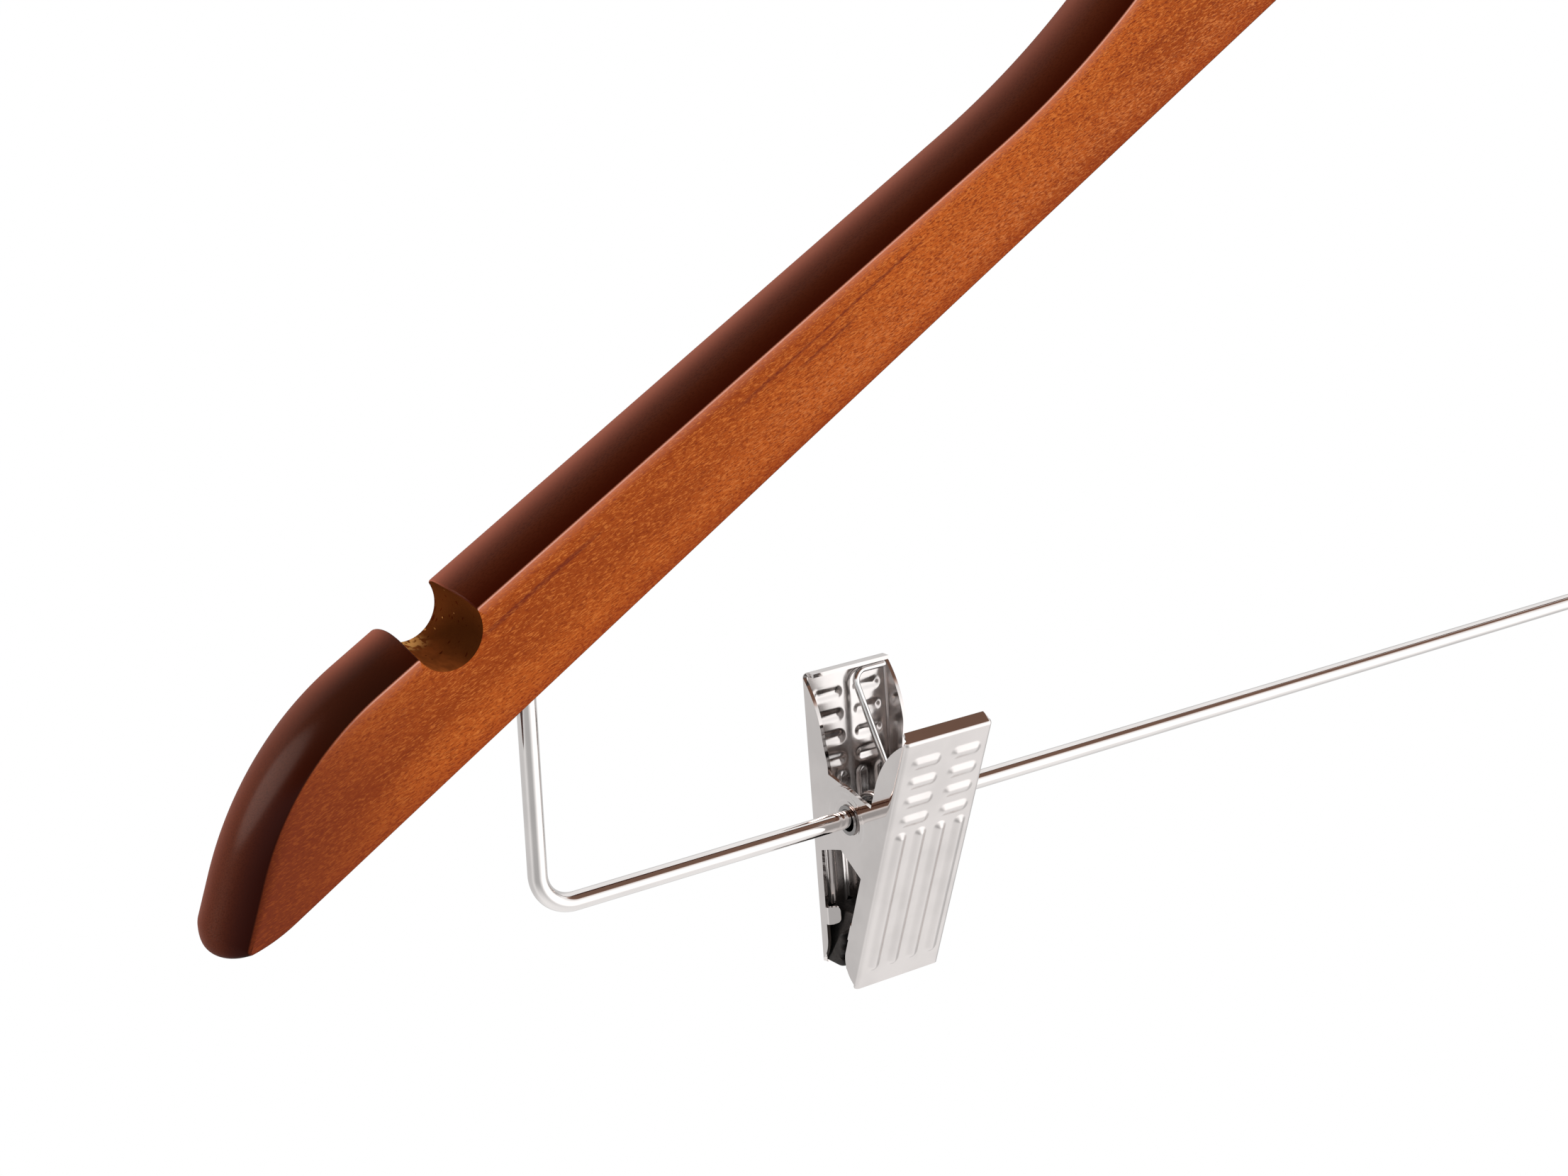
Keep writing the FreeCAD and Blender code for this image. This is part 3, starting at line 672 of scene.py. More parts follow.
def armOutline(rows):
    # the half outline of every row, from the head's top round the tip to the middle of the underside,
    # and the first and last column of each of its stretches
    columns = arm["columns"]
    growth = rows["growth"][:, None, None]
    swell = np.clip(growth / arm["crown"], 0, 1)
    halfSpan = arm["uprightSpan"] / 2
    topSlope, neckAngle, noseAngle = arm["topSlope"], arm["neckAngle"], arm["noseAngle"]
    topAtUpright = arm["barDrop"] + arm["depth"]

    def arc(start, radius, fromAngle, toAngle, stretch, grown=growth):
        # points at start + radius * (normal - first normal), grown along the normal; hollow if negative
        normals = directions(np.linspace(fromAngle, toAngle, columns[stretch]))
        line = start + radius * (normals - normals[0])[None]
        return line[:, -1:], line + grown * normals

    def run(before, after, stretch):
        # points between two stretches, on the line from the last of one to the first of the next
        share = np.linspace(0, 1, columns[stretch] + 2)[None, 1:-1, None]
        return before[:, -1:] * (1 - share) + after[:, :1] * share

    neckTop = topAtUpright + tangent(topSlope) * (halfSpan - arm["neckReach"])
    neckAcross = arm["neckRadius"] * (sine(neckAngle) - sine(topSlope))
    neckUp = arm["neckRadius"] * (cosine(topSlope) - cosine(neckAngle))
    headRadius = (arm["neckReach"] - neckAcross) / sine(neckAngle)
    headHeight = neckTop + neckUp + headRadius * (1 - cosine(neckAngle))
    here, head = arc(np.array([0, headHeight]), headRadius, 90, 90 + neckAngle, "head")
    here, neck = arc(here, -arm["neckRadius"], 90 + neckAngle, 90 + topSlope, "neck")

    along, outward = directions(np.array([180 + topSlope, 90 + topSlope]))
    notchDrop = tangent(topSlope) * arm["notchOverhang"]
    notchCentre = np.array([-halfSpan - arm["notchOverhang"], topAtUpright - notchDrop])
    notch = notchOutline(rows, notchCentre, along, outward)

    # the shoulder's radius grows towards mid thickness
    topRun = (halfSpan + arm["shoulderOverhang"] - arm["neckReach"]) / cosine(topSlope)
    here = here + topRun * along
    shoulderRadius = arm["shoulderRadius"] + arm["shoulderSwell"] * swell
    here, shoulder = arc(here, shoulderRadius, 90 + topSlope, 90 + noseAngle, "shoulder")

    # the tip rounds the corner where the nose line meets the underside, with a slack heel behind it,
    # and is tighter at the faces
    under, heelAngle = 270 + arm["undersideSlope"], arm["heelAngle"]
    noseWay, heelWay, underWay = directions(np.array([90 + noseAngle, heelAngle, under]))
    tipRadius = arm["tipFaceRadius"] + (arm["tipRadius"] - arm["tipFaceRadius"]) * swell
    bend = tipRadius * (heelWay - noseWay) + arm["heelRadius"] * (underWay - heelWay)
    down = directions(np.array(noseAngle))
    underPoint = np.array([-halfSpan, arm["barDrop"]])
    here = here - down * ((here - underPoint + bend) @ underWay)[..., None] / float(down @ underWay)
    # the crown fills the corner out, then flattens a little towards the underside
    angles = np.linspace(90 + noseAngle, heelAngle, columns["tip"])
    fill = arm["tipFill"] * np.exp(-((angles - arm["tipFillAt"][0]) / arm["tipFillAt"][1]) ** 2)
    flat = 1 - arm["tipFlat"] * smoothStep(arm["tipFlatFrom"], heelAngle, angles)
    grown = np.maximum(growth, -arm["tipShrink"] * tipRadius) * flat[None, :, None]
    grown = grown + fill[None, :, None] * swell
    here, tip = arc(here, tipRadius, 90 + noseAngle, heelAngle, "tip", grown)
    here, heel = arc(here, arm["heelRadius"], heelAngle, under, "heel", grown[:, -1:])
    tip = np.concatenate([tip, heel[:, 1:]], 1)

    apexAcross = -arm["apexRadius"] * sine(arm["undersideSlope"])
    apexHeight = arm["barDrop"] + tangent(arm["undersideSlope"]) * (apexAcross + halfSpan)
    here, apex = arc(np.array([apexAcross, apexHeight]), -arm["apexRadius"], under, 270, "apex")
    stretches = {"head": head, "neck": neck[:, 1:], "topRun": run(neck, notch, "topRun"), "notch": notch,
                 "backRun": run(notch, shoulder, "backRun"), "shoulder": shoulder,
                 "noseRun": run(shoulder, tip, "noseRun"), "tip": tip,
                 "lowRun": run(tip, apex, "lowRun"), "apex": apex}
    counts = [part.shape[1] for part in stretches.values()]
    ends = np.cumsum(counts)
    spans = dict(zip(stretches, zip(ends - counts, ends)))
    return np.concatenate(list(stretches.values()), 1), spans


def armShares(rows, spans):
    # shares of colour: each is one by the profile's rows times one by the outline's columns
    fades = arm["fades"]
    count = np.arange(spans["apex"][1])
    neckEnd = spans["neck"][1]
    notchStart, notchEnd = spans["notch"]
    shoulderStart, noseStart = spans["shoulder"]
    inNotch = (count >= notchStart + fades["notch"]) & (count < notchEnd - fades["notch"])
    low = smoothStep(0.42, 0.8, (count - notchStart) / (notchEnd - notchStart - 1)) * (count < notchEnd)
    outerSide = inNotch * smoothStep(0.5, 0.66, np.cumsum(inNotch) / inNotch.sum())
    bent = smoothStep(shoulderStart, (shoulderStart + noseStart) / 2, count)
    onTop = (1 - bent) * (1 - 0.6 * smoothStep(notchEnd, shoulderStart + fades["shoulderTop"], count))
    alongTop = onTop * (1 - inNotch)
    # painted shade on the crown over the stretch from the notch to the shoulder
    before, after = fades["shoulder"]
    upper = smoothStep(notchEnd - fades["notch"], notchEnd + fades["notch"], count)
    upper = upper * (1 - smoothStep(shoulderStart + before, shoulderStart + after, count))
    # the nose and the tip, without the heel
    before, after = (spans["tip"][0] + fade for fade in fades["tip"])
    atTip = smoothStep(noseStart - fades["nose"], noseStart, count) * (1 - smoothStep(before, after, count))
    # painted reflection: the rear of the crown is paler along the top side, less so at the neck
    before, after = fades["neck"]
    pale = (0.3 + 0.7 * onTop) * (0.58 + 0.42 * smoothStep(neckEnd - before, neckEnd + after, count))

    # raw chips sit at the back of the notch, on its outer side
    edge, rim = rows["edge"], rows["rim"]
    wall = smoothStep(0.0, 0.4, edge)
    back = rows["depth"] / arm["thickness"] * 2
    behind = smoothStep(0.3, 0.75, back)
    # the painted reflection grows towards the back of the crown
    rear = smoothStep(-0.4, 0.6, back) * edge
    everywhere = np.ones(len(count))
    pairs = {"edgeShare": (edge, everywhere), "rimHighlightShare": (rim, alongTop),
             "arrisHighlightShare": (rows["line"], alongTop), "arrisShadeShare": (rows["shade"], everywhere),
             "notchShare": (wall, inNotch), "notchLow": (wall, low), "chipShare": (behind, outerSide),
             "rearReflectionShare": (rear, pale), "tipRimShare": (rim, atTip), "shoulderShadeShare": (edge, upper),
             "bendShare": (edge, bent)}
    return {label: np.outer(*pair) for label, pair in pairs.items()}


def armPiece(name, side):
    # the outline of every row at the row's depth, closed by both faces and the end at the middle
    rows = armProfile()
    outline, spans = armOutline(rows)
    count, columns = outline.shape[:2]
    depth = np.broadcast_to(rows["depth"][:, None], (count, columns))
    points = np.stack([-side * outline[..., 0], depth, outline[..., 1] + barHeight], -1)
    table = numbered(count, columns)
    faces = gridFaces(table).tolist()
    faces.append(table[0][::-1].tolist())
    faces.append(table[-1].tolist())
    faces.append(np.concatenate([table[:, 0], table[::-1, -1]]).tolist())
    if side < 0:
        faces = [face[::-1] for face in faces]
    piece, used = meshPiece(name, points, faces, arm["sharpAngle"])
    for label, share in armShares(rows, spans).items():
        setAttribute(piece, label, share.ravel()[used])
    return piece


for sideName, side in (("left", -1), ("right", 1)):
    piece = armPiece(sideName + "ArmWood", side)
    wood = woodMaterial(sideName + "StainedWood", side)
    dress(piece, [wood], "hanger", sideName + "_arm")
print("arms made")


# Bar, hook and ferrule

bar = {"bendRadius": 5.8 * mm, "sides": 40, "socketDepth": 13.5 * mm,
       "uprightPoints": 12, "bendPoints": 30, "levelPoints": 40}


def barPath():
    # an upright, a bend and half of the level run, and their mirror image
    halfSpan = arm["uprightSpan"] / 2
    end = barHeight + arm["barDrop"] + bar["socketDepth"]
    top, corner = np.array([-halfSpan, 0, end]), np.array([-halfSpan, 0, barHeight])
    middle = np.array([0, 0, barHeight])
    bend = roundedCorner(top, corner, middle, bar["bendRadius"], bar["bendPoints"])
    upright = np.linspace(top, bend[0], bar["uprightPoints"])[:-1]
    level = np.linspace(bend[-1], middle, bar["levelPoints"])[1:]
    left = np.concatenate([upright, bend, level])
    return np.concatenate([left, (left * np.array([-1, 1, 1]))[-2::-1]])


sideways = np.array([0.0, 1.0, 0.0])
piece = wireAlong("barWire", barPath(), wireRadius, bar["sides"], sideways)
dress(piece, [brightMetal], "hanger", "trouser_bar")

hook = {
    "wire": 3.8 * mm,
    "innerRadius": 20.0 * mm,
    "lean": 68.0,
    "endAngle": 205.0,
    "sides": 48,
    "beadRadius": 2.9 * mm,
    "beadHeight": 4.0 * mm,
    "beadEdge": 0.1 * mm,
    "beadPoints": 4,
    "stemPoints": 14,
    "bendPoints": 24,
    "sweepPoints": 150,
}
ferrule = {
    "radius": 4.2 * mm,
    "length": 20.0 * mm,
    "collarRadius": 6.2 * mm,
    "collarHeight": 2.2 * mm,
    "throat": 8.0 * mm,
    "clearance": 0.08 * mm,
    "beadRoom": 0.4 * mm,
    "rimPoints": 9,
    "sides": 72,
}
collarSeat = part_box("hook_ferrule")[1].z - ferrule["collarHeight"]


def hookPath():
    # a stem with an upset end, a bend to the side and most of a circle, and the wire's radius along them
    middle = hook["innerRadius"] + hook["wire"] / 2
    centre = -hook["innerRadius"]
    across = cosine(hook["lean"])
    turn = middle * across / (1 - across)
    stemTop = centre - (middle + turn) * sine(hook["lean"])
    # the upset end below the ferrule's throat keeps the hook in
    beadTop = collarSeat - ferrule["throat"] - ferrule["clearance"]
    low = np.linspace(beadTop - hook["beadHeight"], beadTop - hook["beadEdge"], hook["beadPoints"])
    height = np.concatenate([low, np.linspace(beadTop, stemTop, hook["stemPoints"])[:-1]])
    stem = np.stack([np.zeros(len(height)), height], -1)
    bend = directions(np.linspace(0, hook["lean"], hook["bendPoints"])) * np.array([-1, 1]) * turn
    bend = bend + np.array([turn, stemTop])
    sweep = directions(np.linspace(-hook["lean"], hook["endAngle"], hook["sweepPoints"]))[1:] * middle
    sweep = sweep + np.array([0, centre])
    flat = np.concatenate([stem, bend, sweep])
    radii = np.full(len(flat), hook["wire"] / 2)
    radii[:len(low)] = hook["beadRadius"]
    return np.stack([flat[:, 0], np.zeros(len(flat)), flat[:, 1]], -1), radii


hookLine, hookRadii = hookPath()
piece = wireAlong("hookWire", hookLine, hookRadii, hook["sides"], sideways)
dress(piece, [brightMetal], "hook", "hook")


def ferruleProfile():
    # sleeve, collar with a rounded rim, bore and the wider chamber below it
    seat, low = collarSeat, collarSeat - ferrule["length"]
    bore = hook["wire"] / 2 + ferrule["clearance"]
    chamber = hook["beadRadius"] + ferrule["beadRoom"]
    top = seat + ferrule["collarHeight"]
    rim = ferrule["collarHeight"] / 2
    turn = directions(np.linspace(0, 90, ferrule["rimPoints"]))
    rounded = np.stack([top - rim + rim * turn[:, 1], ferrule["collarRadius"] - rim + rim * turn[:, 0]], -1)
    lower = [(low, chamber), (low, ferrule["radius"]), (seat, ferrule["radius"]),
             (seat, ferrule["collarRadius"])]
    throat = seat - ferrule["throat"]
    inside = [(top, bore), (throat, bore), (throat, chamber)]
    return np.concatenate([lower, rounded, inside])


points, faces = turned(ferruleProfile(), ferrule["sides"], "z")
piece = meshPiece("ferruleSleeve", points, faces)[0]
dress(piece, [brightMetal], "hanger", "hook_ferrule")
print("bar, hook and ferrule made")


# Clips: drawn around the hinge with the plate upright, as height above the hinge and distance out

clip = {"tilt": 6.4, "halfAngle": 11.1}
jaw = {
    "sheet": 0.6 * mm,
    "plateDistance": 10.1 * mm,
    "top": 21.9 * mm,
    "bottom": 26.8 * mm,
    "foldRadius": 0.85 * mm,
    "foldShare": 0.7,
    "lipFold": 0.8 * mm,
    "lipDepth": 2.4 * mm,
    "handleFlange": 5.0 * mm,
    "handleFlat": 10.0 * mm,
    "rimSetback": 0.7 * mm,
    "throatTop": 6.2 * mm,
    "throatBottom": 7.0 * mm,
    "skirtFlat": 22.0 * mm,
    "earHole": 2.21 * mm,
    # outer and inner radius and depth of each step of the dished eye
    "dishSteps": [(4.9 * mm, 4.2 * mm, 0.21 * mm), (3.6 * mm, 2.9 * mm, 0.24 * mm),
                  (2.6 * mm, 2.21 * mm, 0.1 * mm)],
    "dishFade": 0.25,
    "lugTop": 16.5 * mm,
    "lugHeight": 3.1 * mm,
    "lugRun": 1.7 * mm,
    "lugBend": 0.7 * mm,
    "lugAngle": 62.0,
    "lugShape": 5,
    # the lug's ends keep a little length
    "lugSquare": 1.02,
    "sharpAngle": 35,
    "wallSharpAngle": 38,
    # rows below, beside and above the hinge, and columns or rows of the other stretches
    "rows": (96, 64, 74),
    "plateColumns": 74,
    "foldColumns": 7,
    "flangeColumns": 9,
    "earRings": 22,
    "earColumns": 60,
    "throatColumns": 12,
    "lipBendRows": 7,
    "lipRows": 5,
    "lugRows": 6,
    # columns of the fold that are satin like the plate
    "satinColumns": 3,
}
frontJaw = {"width": 16.5 * mm, "earInset": 0.0, "ear": 5.5 * mm, "skirt": 4.0 * mm,
            "beadRise": 0.62 * mm, "cornerLeft": 0.8, "cornerRound": 0.5 * mm, "lipAngle": 68.0}
rearJaw = {"width": 16.2 * mm, "earInset": 0.55 * mm, "ear": 4.9 * mm, "skirt": 2.3 * mm,
           "beadRise": 0.44 * mm, "cornerLeft": 0.04, "cornerRound": 1.7 * mm, "lipAngle": 90.0}
# where the inner jaw's flange is drawn in towards its ears: by distance out and by height
drawnIn = {"out": (5.6 * mm, 8.4 * mm), "height": (7.0 * mm, 12.0 * mm)}
beads = {
    "spread": 0.45 * mm,
    "dashRows": 4,
    "dashColumns": 2,
    "dashLength": 5.2 * mm,
    "dashWidth": 1.9 * mm,
    "dashPitch": 3.68 * mm,
    "dashSpread": 7.5 * mm,
    "dashTop": 17.5 * mm,
    "dashShape": 1.9,
    "dashRise": 0.72,
    "ribShape": 1.9,
    "ribs": 4,
    "ribPitch": 3.75 * mm,
    "ribWidth": 1.7 * mm,
    "ribTop": 4.1 * mm,
    "ribBottom": 23.3 * mm,
}


def beadRise(x, height):
    # every bead is a smooth hump, highest along the line through its middle
    lines = []
    for row in range(beads["dashRows"]):
        level = beads["dashTop"] - row * beads["dashPitch"]
        for column in range(beads["dashColumns"]):
            middle = (column - (beads["dashColumns"] - 1) / 2) * beads["dashSpread"]
            reach = (beads["dashLength"] - beads["dashWidth"]) / 2
            lines.append((beads["dashWidth"], beads["dashShape"], beads["dashRise"], middle - reach, level,
                          middle + reach, level))
    for rib in range(beads["ribs"]):
        middle = (rib - (beads["ribs"] - 1) / 2) * beads["ribPitch"]
        half = beads["ribWidth"] / 2
        lines.append((beads["ribWidth"], beads["ribShape"], 1.0, middle, half - beads["ribBottom"], middle,
                      beads["ribTop"] - half))
    total = np.zeros_like(x)
    for width, shape, rise, x0, h0, x1, h1 in lines:
        length = (x1 - x0) ** 2 + (h1 - h0) ** 2
        share = np.clip(((x - x0) * (x1 - x0) + (height - h0) * (h1 - h0)) / length, 0, 1)
        away = np.hypot(x - x0 - share * (x1 - x0), height - h0 - share * (h1 - h0))
        share = np.clip(away / (width / 2 + beads["spread"]), 0, 1)
        total = np.maximum(total, rise * (1 - share ** shape) ** 2)
    return total


def earInset(kind, height, distance):
    # full near the ears, none towards the plate, the top and the bottom
    near = 1 - smoothStep(*drawnIn["out"], distance)
    return kind["earInset"] * near * (1 - smoothStep(*drawnIn["height"], np.abs(height)))


def flangeEdge(height, skirt):
    # distance out at which the flange ends, for the handle above the ear and the skirt below it
    plateInside = jaw["plateDistance"] - jaw["sheet"]

    def eased(run, length, edge):
        rise = plateInside - edge
        radius = (length * length + rise * rise) / (2 * rise)
        run = np.clip(run, 0, length)
        return edge + radius - np.sqrt(radius * radius - run * run)

    handle = eased(height - jaw["handleFlat"], jaw["top"] - jaw["rimSetback"] - jaw["handleFlat"],
                   jaw["plateDistance"] - jaw["handleFlange"])
    lower = eased(-height - jaw["skirtFlat"], jaw["bottom"] - jaw["rimSetback"] - jaw["skirtFlat"],
                  jaw["plateDistance"] - skirt)
    return np.where(height > 0, handle, lower)


def sideReach(height, kind):
    # length of sheet from the plate round the fold to the flange's edge
    fold = jaw["foldRadius"]
    out = jaw["plateDistance"] - flangeEdge(height, kind["skirt"])
    curved = fold * np.arccos(np.clip(1 - out / fold, 0, 1))
    reach = np.where(out < fold, curved, fold * math.pi / 2 + out - fold)
    # the lower corners are rounded off
    share = np.clip(1 - (height + jaw["bottom"]) / kind["cornerRound"], 0, 1)
    return reach * (kind["cornerLeft"] + (1 - kind["cornerLeft"]) * np.sqrt(1 - share * share))


def jawGrid(kind, height):
    # the plate with its beads, with fold and flange beside it by the length of sheet from the plate,
    # and how far each point of the top row is turned
    fold, out, half = jaw["foldRadius"], jaw["plateDistance"], kind["width"] / 2
    plateX = np.linspace(fold - half, half - fold, jaw["plateColumns"] + 1)
    x, h = np.broadcast_arrays(plateX[None], height[:, None])
    plate = np.stack([x, -(out + kind["beadRise"] * beadRise(x, h)), h], -1)
    reach = sideReach(height, kind)[:, None]
    quarter = fold * math.pi / 2
    split = np.minimum(quarter, jaw["foldShare"] * reach)
    foldShare = np.arange(1, jaw["foldColumns"] + 1)[None] / jaw["foldColumns"]
    flangeShare = np.arange(1, jaw["flangeColumns"] + 1)[None] / jaw["flangeColumns"]
    length = np.concatenate([split * foldShare, split + (reach - split) * flangeShare], 1)
    bend = np.minimum(length, quarter) / fold
    sideX = half - fold + fold * np.sin(bend)
    sideOut = out - fold + fold * np.cos(bend) - np.maximum(length - quarter, 0)
    sideX = sideX - earInset(kind, height[:, None], sideOut)
    wing = np.stack([sideX, -sideOut, np.broadcast_to(height[:, None], sideX.shape)], -1)
    topTurn = np.concatenate([-bend[-1, ::-1], np.zeros(len(plateX)), bend[-1]])
    return np.concatenate([(wing * np.array([-1, 1, 1]))[:, ::-1], plate, wing], 1), topTurn


def lipRows(kind, topRow, topTurn):
    # bends inwards from the whole top row, so that its corners come out drawn and round
    turn = math.radians(kind["lipAngle"])
    inwards = np.stack([-np.sin(topTurn), np.cos(topTurn), 0 * topTurn], -1)
    upwards = np.array([0, 0, 1])
    bend = np.linspace(0, turn, jaw["lipBendRows"] + 1)[1:, None, None]
    rolled = topRow + jaw["lipFold"] * ((1 - np.cos(bend)) * inwards + np.sin(bend) * upwards)
    tongue = (jaw["lipDepth"] - jaw["lipFold"]) * (1 - np.abs(topTurn) / np.abs(topTurn).max())
    share = np.linspace(0, 1, jaw["lipRows"] + 1)[1:, None, None]
    straight = rolled[-1] + share * tongue[:, None] * np.array([0, math.sin(turn), math.cos(turn)])
    return np.concatenate([rolled, straight])


def earEdge(kind):
    # the ear's free edge as height and distance out: a line to the round and a line from it
    ear = kind["ear"]
    throat = np.array([jaw["throatTop"], jaw["plateDistance"] - jaw["handleFlange"]])
    chin = np.array([-jaw["throatBottom"], jaw["plateDistance"] - kind["skirt"]])

    def touch(corner, sign):
        return math.degrees(math.atan2(corner[1], corner[0]) - sign * math.acos(ear / math.hypot(*corner)))

    upper, lower = touch(throat, 1), touch(chin, -1) - 360
    roundEdge = ear * directions(np.linspace(upper, lower, jaw["earColumns"]))
    toEar = np.linspace(throat, roundEdge[0], jaw["throatColumns"])[1:-1]
    fromEar = np.linspace(roundEdge[-1], chin, jaw["throatColumns"])[1:-1]
    return np.concatenate([toEar, roundEdge, fromEar])


def earPoints(kind, sign, height, out, sink=0):
    # points of one flange at a height and a distance out, sunk by the dish of the eye
    return np.stack([sign * (kind["width"] / 2 - sink - earInset(kind, height, out)), -out, height], -1)


def earRings(kind, sign, rim):
    # ring radii shrink from the rim to the eye, evenly along every spoke
    away = np.linalg.norm(rim, axis=1)
    spokes = np.linspace(0, 1, jaw["earRings"] + 1)[1:, None]
    radii = away[None] + (jaw["earHole"] - away)[None] * spokes
    sink = sum(depth * (1 - smoothStep(low, high, radii)) for high, low, depth in jaw["dishSteps"])
    way = rim / away[:, None]
    sink = sink * smoothStep(0, jaw["dishFade"], spokes)
    return earPoints(kind, sign, radii * way[None, :, 0], radii * way[None, :, 1], sink)


def lugRows(sign, edge):
    # a tab with round corners, bent inwards from the flange's edge beside the pad
    turn = math.radians(jaw["lugAngle"])
    bend = np.linspace(0, turn, jaw["lugRows"] + 1)[1:, None]
    spread = (edge[:, 2] + jaw["lugTop"] + jaw["lugHeight"] / 2) / (jaw["lugHeight"] / 2)
    tongue = jaw["lugRun"] * np.sqrt(jaw["lugSquare"] - np.abs(spread) ** jaw["lugShape"])
    angle = np.concatenate([bend, np.full_like(bend, turn)])
    run = np.concatenate([0 * bend, np.linspace(0, 1, jaw["lugRows"] + 1)[1:, None]]) * tongue[None]
    inwards = jaw["lugBend"] * (1 - np.cos(angle)) + run * np.sin(angle)
    forward = jaw["lugBend"] * np.sin(angle) + run * np.cos(angle)
    level = np.broadcast_to(edge[:, 2], run.shape)
    return np.stack([edge[:, 0] - sign * inwards, edge[:, 1] + forward, level], -1)


def jawSheet(name, kind):
    # one grid for plate and flanges, open beside the hinge, with the lip, the ears and the lugs joined on
    below, middle, above = jaw["rows"]
    height = np.concatenate([
        np.linspace(-jaw["bottom"], -jaw["throatBottom"], below + 1),
        np.linspace(-jaw["throatBottom"], jaw["throatTop"], middle + 1)[1:],
        np.linspace(jaw["throatTop"], jaw["top"] - jaw["lipFold"], above + 1)[1:]])
    grid, topTurn = jawGrid(kind, height)
    points = []

    def add(block):
        # numbers of a block of new points
        start = sum(len(known) for known in points)
        points.append(block.reshape(-1, 3))
        return start + numbered(*block.shape[:2])

    index = add(grid)
    rowCount, columns = index.shape
    flange = jaw["flangeColumns"]
    quads = gridFaces(index).reshape(rowCount - 1, columns - 1, 4)
    keep = np.ones(quads.shape[:2], bool)
    keep[below:below + middle, :flange] = False
    keep[below:below + middle, -flange:] = False
    lip = add(lipRows(kind, grid[-1], topTurn))
    faces = [quads[keep], gridFaces(np.concatenate([index[-1:], lip]))]

    flat = np.stack([points[0][:, 2], -points[0][:, 1]], -1)
    freeEdge = earEdge(kind)
    tabRows = np.flatnonzero((height < -jaw["lugTop"]) & (height > -jaw["lugTop"] - jaw["lugHeight"]))
    for sign in (-1, 1):
        line = index[:, ::sign]
        foldEnd = columns - 1 - flange
        # round the ear: above the gap, along the free edge, below the gap and up the fold
        topSide = line[below + middle, foldEnd:]
        known = np.concatenate([line[below, foldEnd:][::-1], line[below + 1:below + middle, foldEnd]])
        free = add(earPoints(kind, sign, *freeEdge.T)[None])[0]
        rim = np.concatenate([flat[topSide], freeEdge, flat[known]])
        rimIndex = np.concatenate([topSide, free, known])
        ear = closed(np.concatenate([rimIndex[None], add(earRings(kind, sign, rim))]))
        tab = add(lugRows(sign, grid[tabRows, -1] * np.array([sign, 1, 1])))
        lug = np.concatenate([line[tabRows, -1][None], tab])
        faces += [gridFaces(table)[:, ::-sign] for table in (ear, lug)]

    piece, used = meshPiece(name, np.concatenate(points), np.concatenate(faces).tolist(), jaw["sharpAngle"])
    # the plate is satin, with a little of its folds
    plateStart = jaw["foldColumns"] + flange - jaw["satinColumns"]
    satin = np.zeros(sum(len(block) for block in points))
    satin[index[:, plateStart:columns - plateStart]] = 1
    setAttribute(piece, "satinShare", satin[used])
    return piece


def placeJaw(piece, hinge, lean, turnedRound):
    # turns a clip piece to its jaw's lean and moves it to the hinge
    co = np.empty(len(piece.data.vertices) * 3, np.float32)
    piece.data.vertices.foreach_get("co", co)
    co = co.reshape(-1, 3).astype(float)
    if turnedRound:
        co = co * np.array([-1, -1, 1])
    co = turnAboutX(co, lean) + hinge
    piece.data.vertices.foreach_set("co", co.astype(np.float32).ravel())
    piece.data.update()


def jawPiece(name, kind, hinge, lean, turnedRound, inside):
    # the sheet in its place, thickened inwards, with a finish of its own inside, which on the front jaw is
    # a darker copy of the plated steel that paints shade
    piece = jawSheet(name, kind)
    placeJaw(piece, hinge, lean, turnedRound)
    piece.data.materials.append(sheetMetal)
    piece.data.materials.append(inside)
    wall = piece.modifiers.new("wall", "SOLIDIFY")
    wall.thickness = jaw["sheet"]
    wall.offset = -1
    wall.use_even_offset = True
    wall.material_offset = 1
    applyModifiers(piece, jaw["wallSharpAngle"])
    return piece


pad = {
    "top": 17.4 * mm,
    "bottom": 26.7 * mm,
    "gap": 0.3 * mm,
    "rounding": 0.9 * mm,
    "grooves": 4,
    "grooveWidth": 0.9 * mm,
    "grooveDepth": 0.5 * mm,
    "grooveShare": 0.55,
    "faceRows": 90,
    "sideRows": 7,
    "backRows": 11,
    # degrees of the rows that round off an end
    "endTurn": [0, 30, 50, 70, 90],
    # how far the ends are drawn in by height and by distance out, as shares of the rounding
    "endShares": (0.6, 1.0),
    "halfWidth": 7.3 * mm,
    # the neck between the lugs is narrower
    "neckWidth": 5.6 * mm,
    "neckHeight": (19.9 * mm, 20.7 * mm),
}


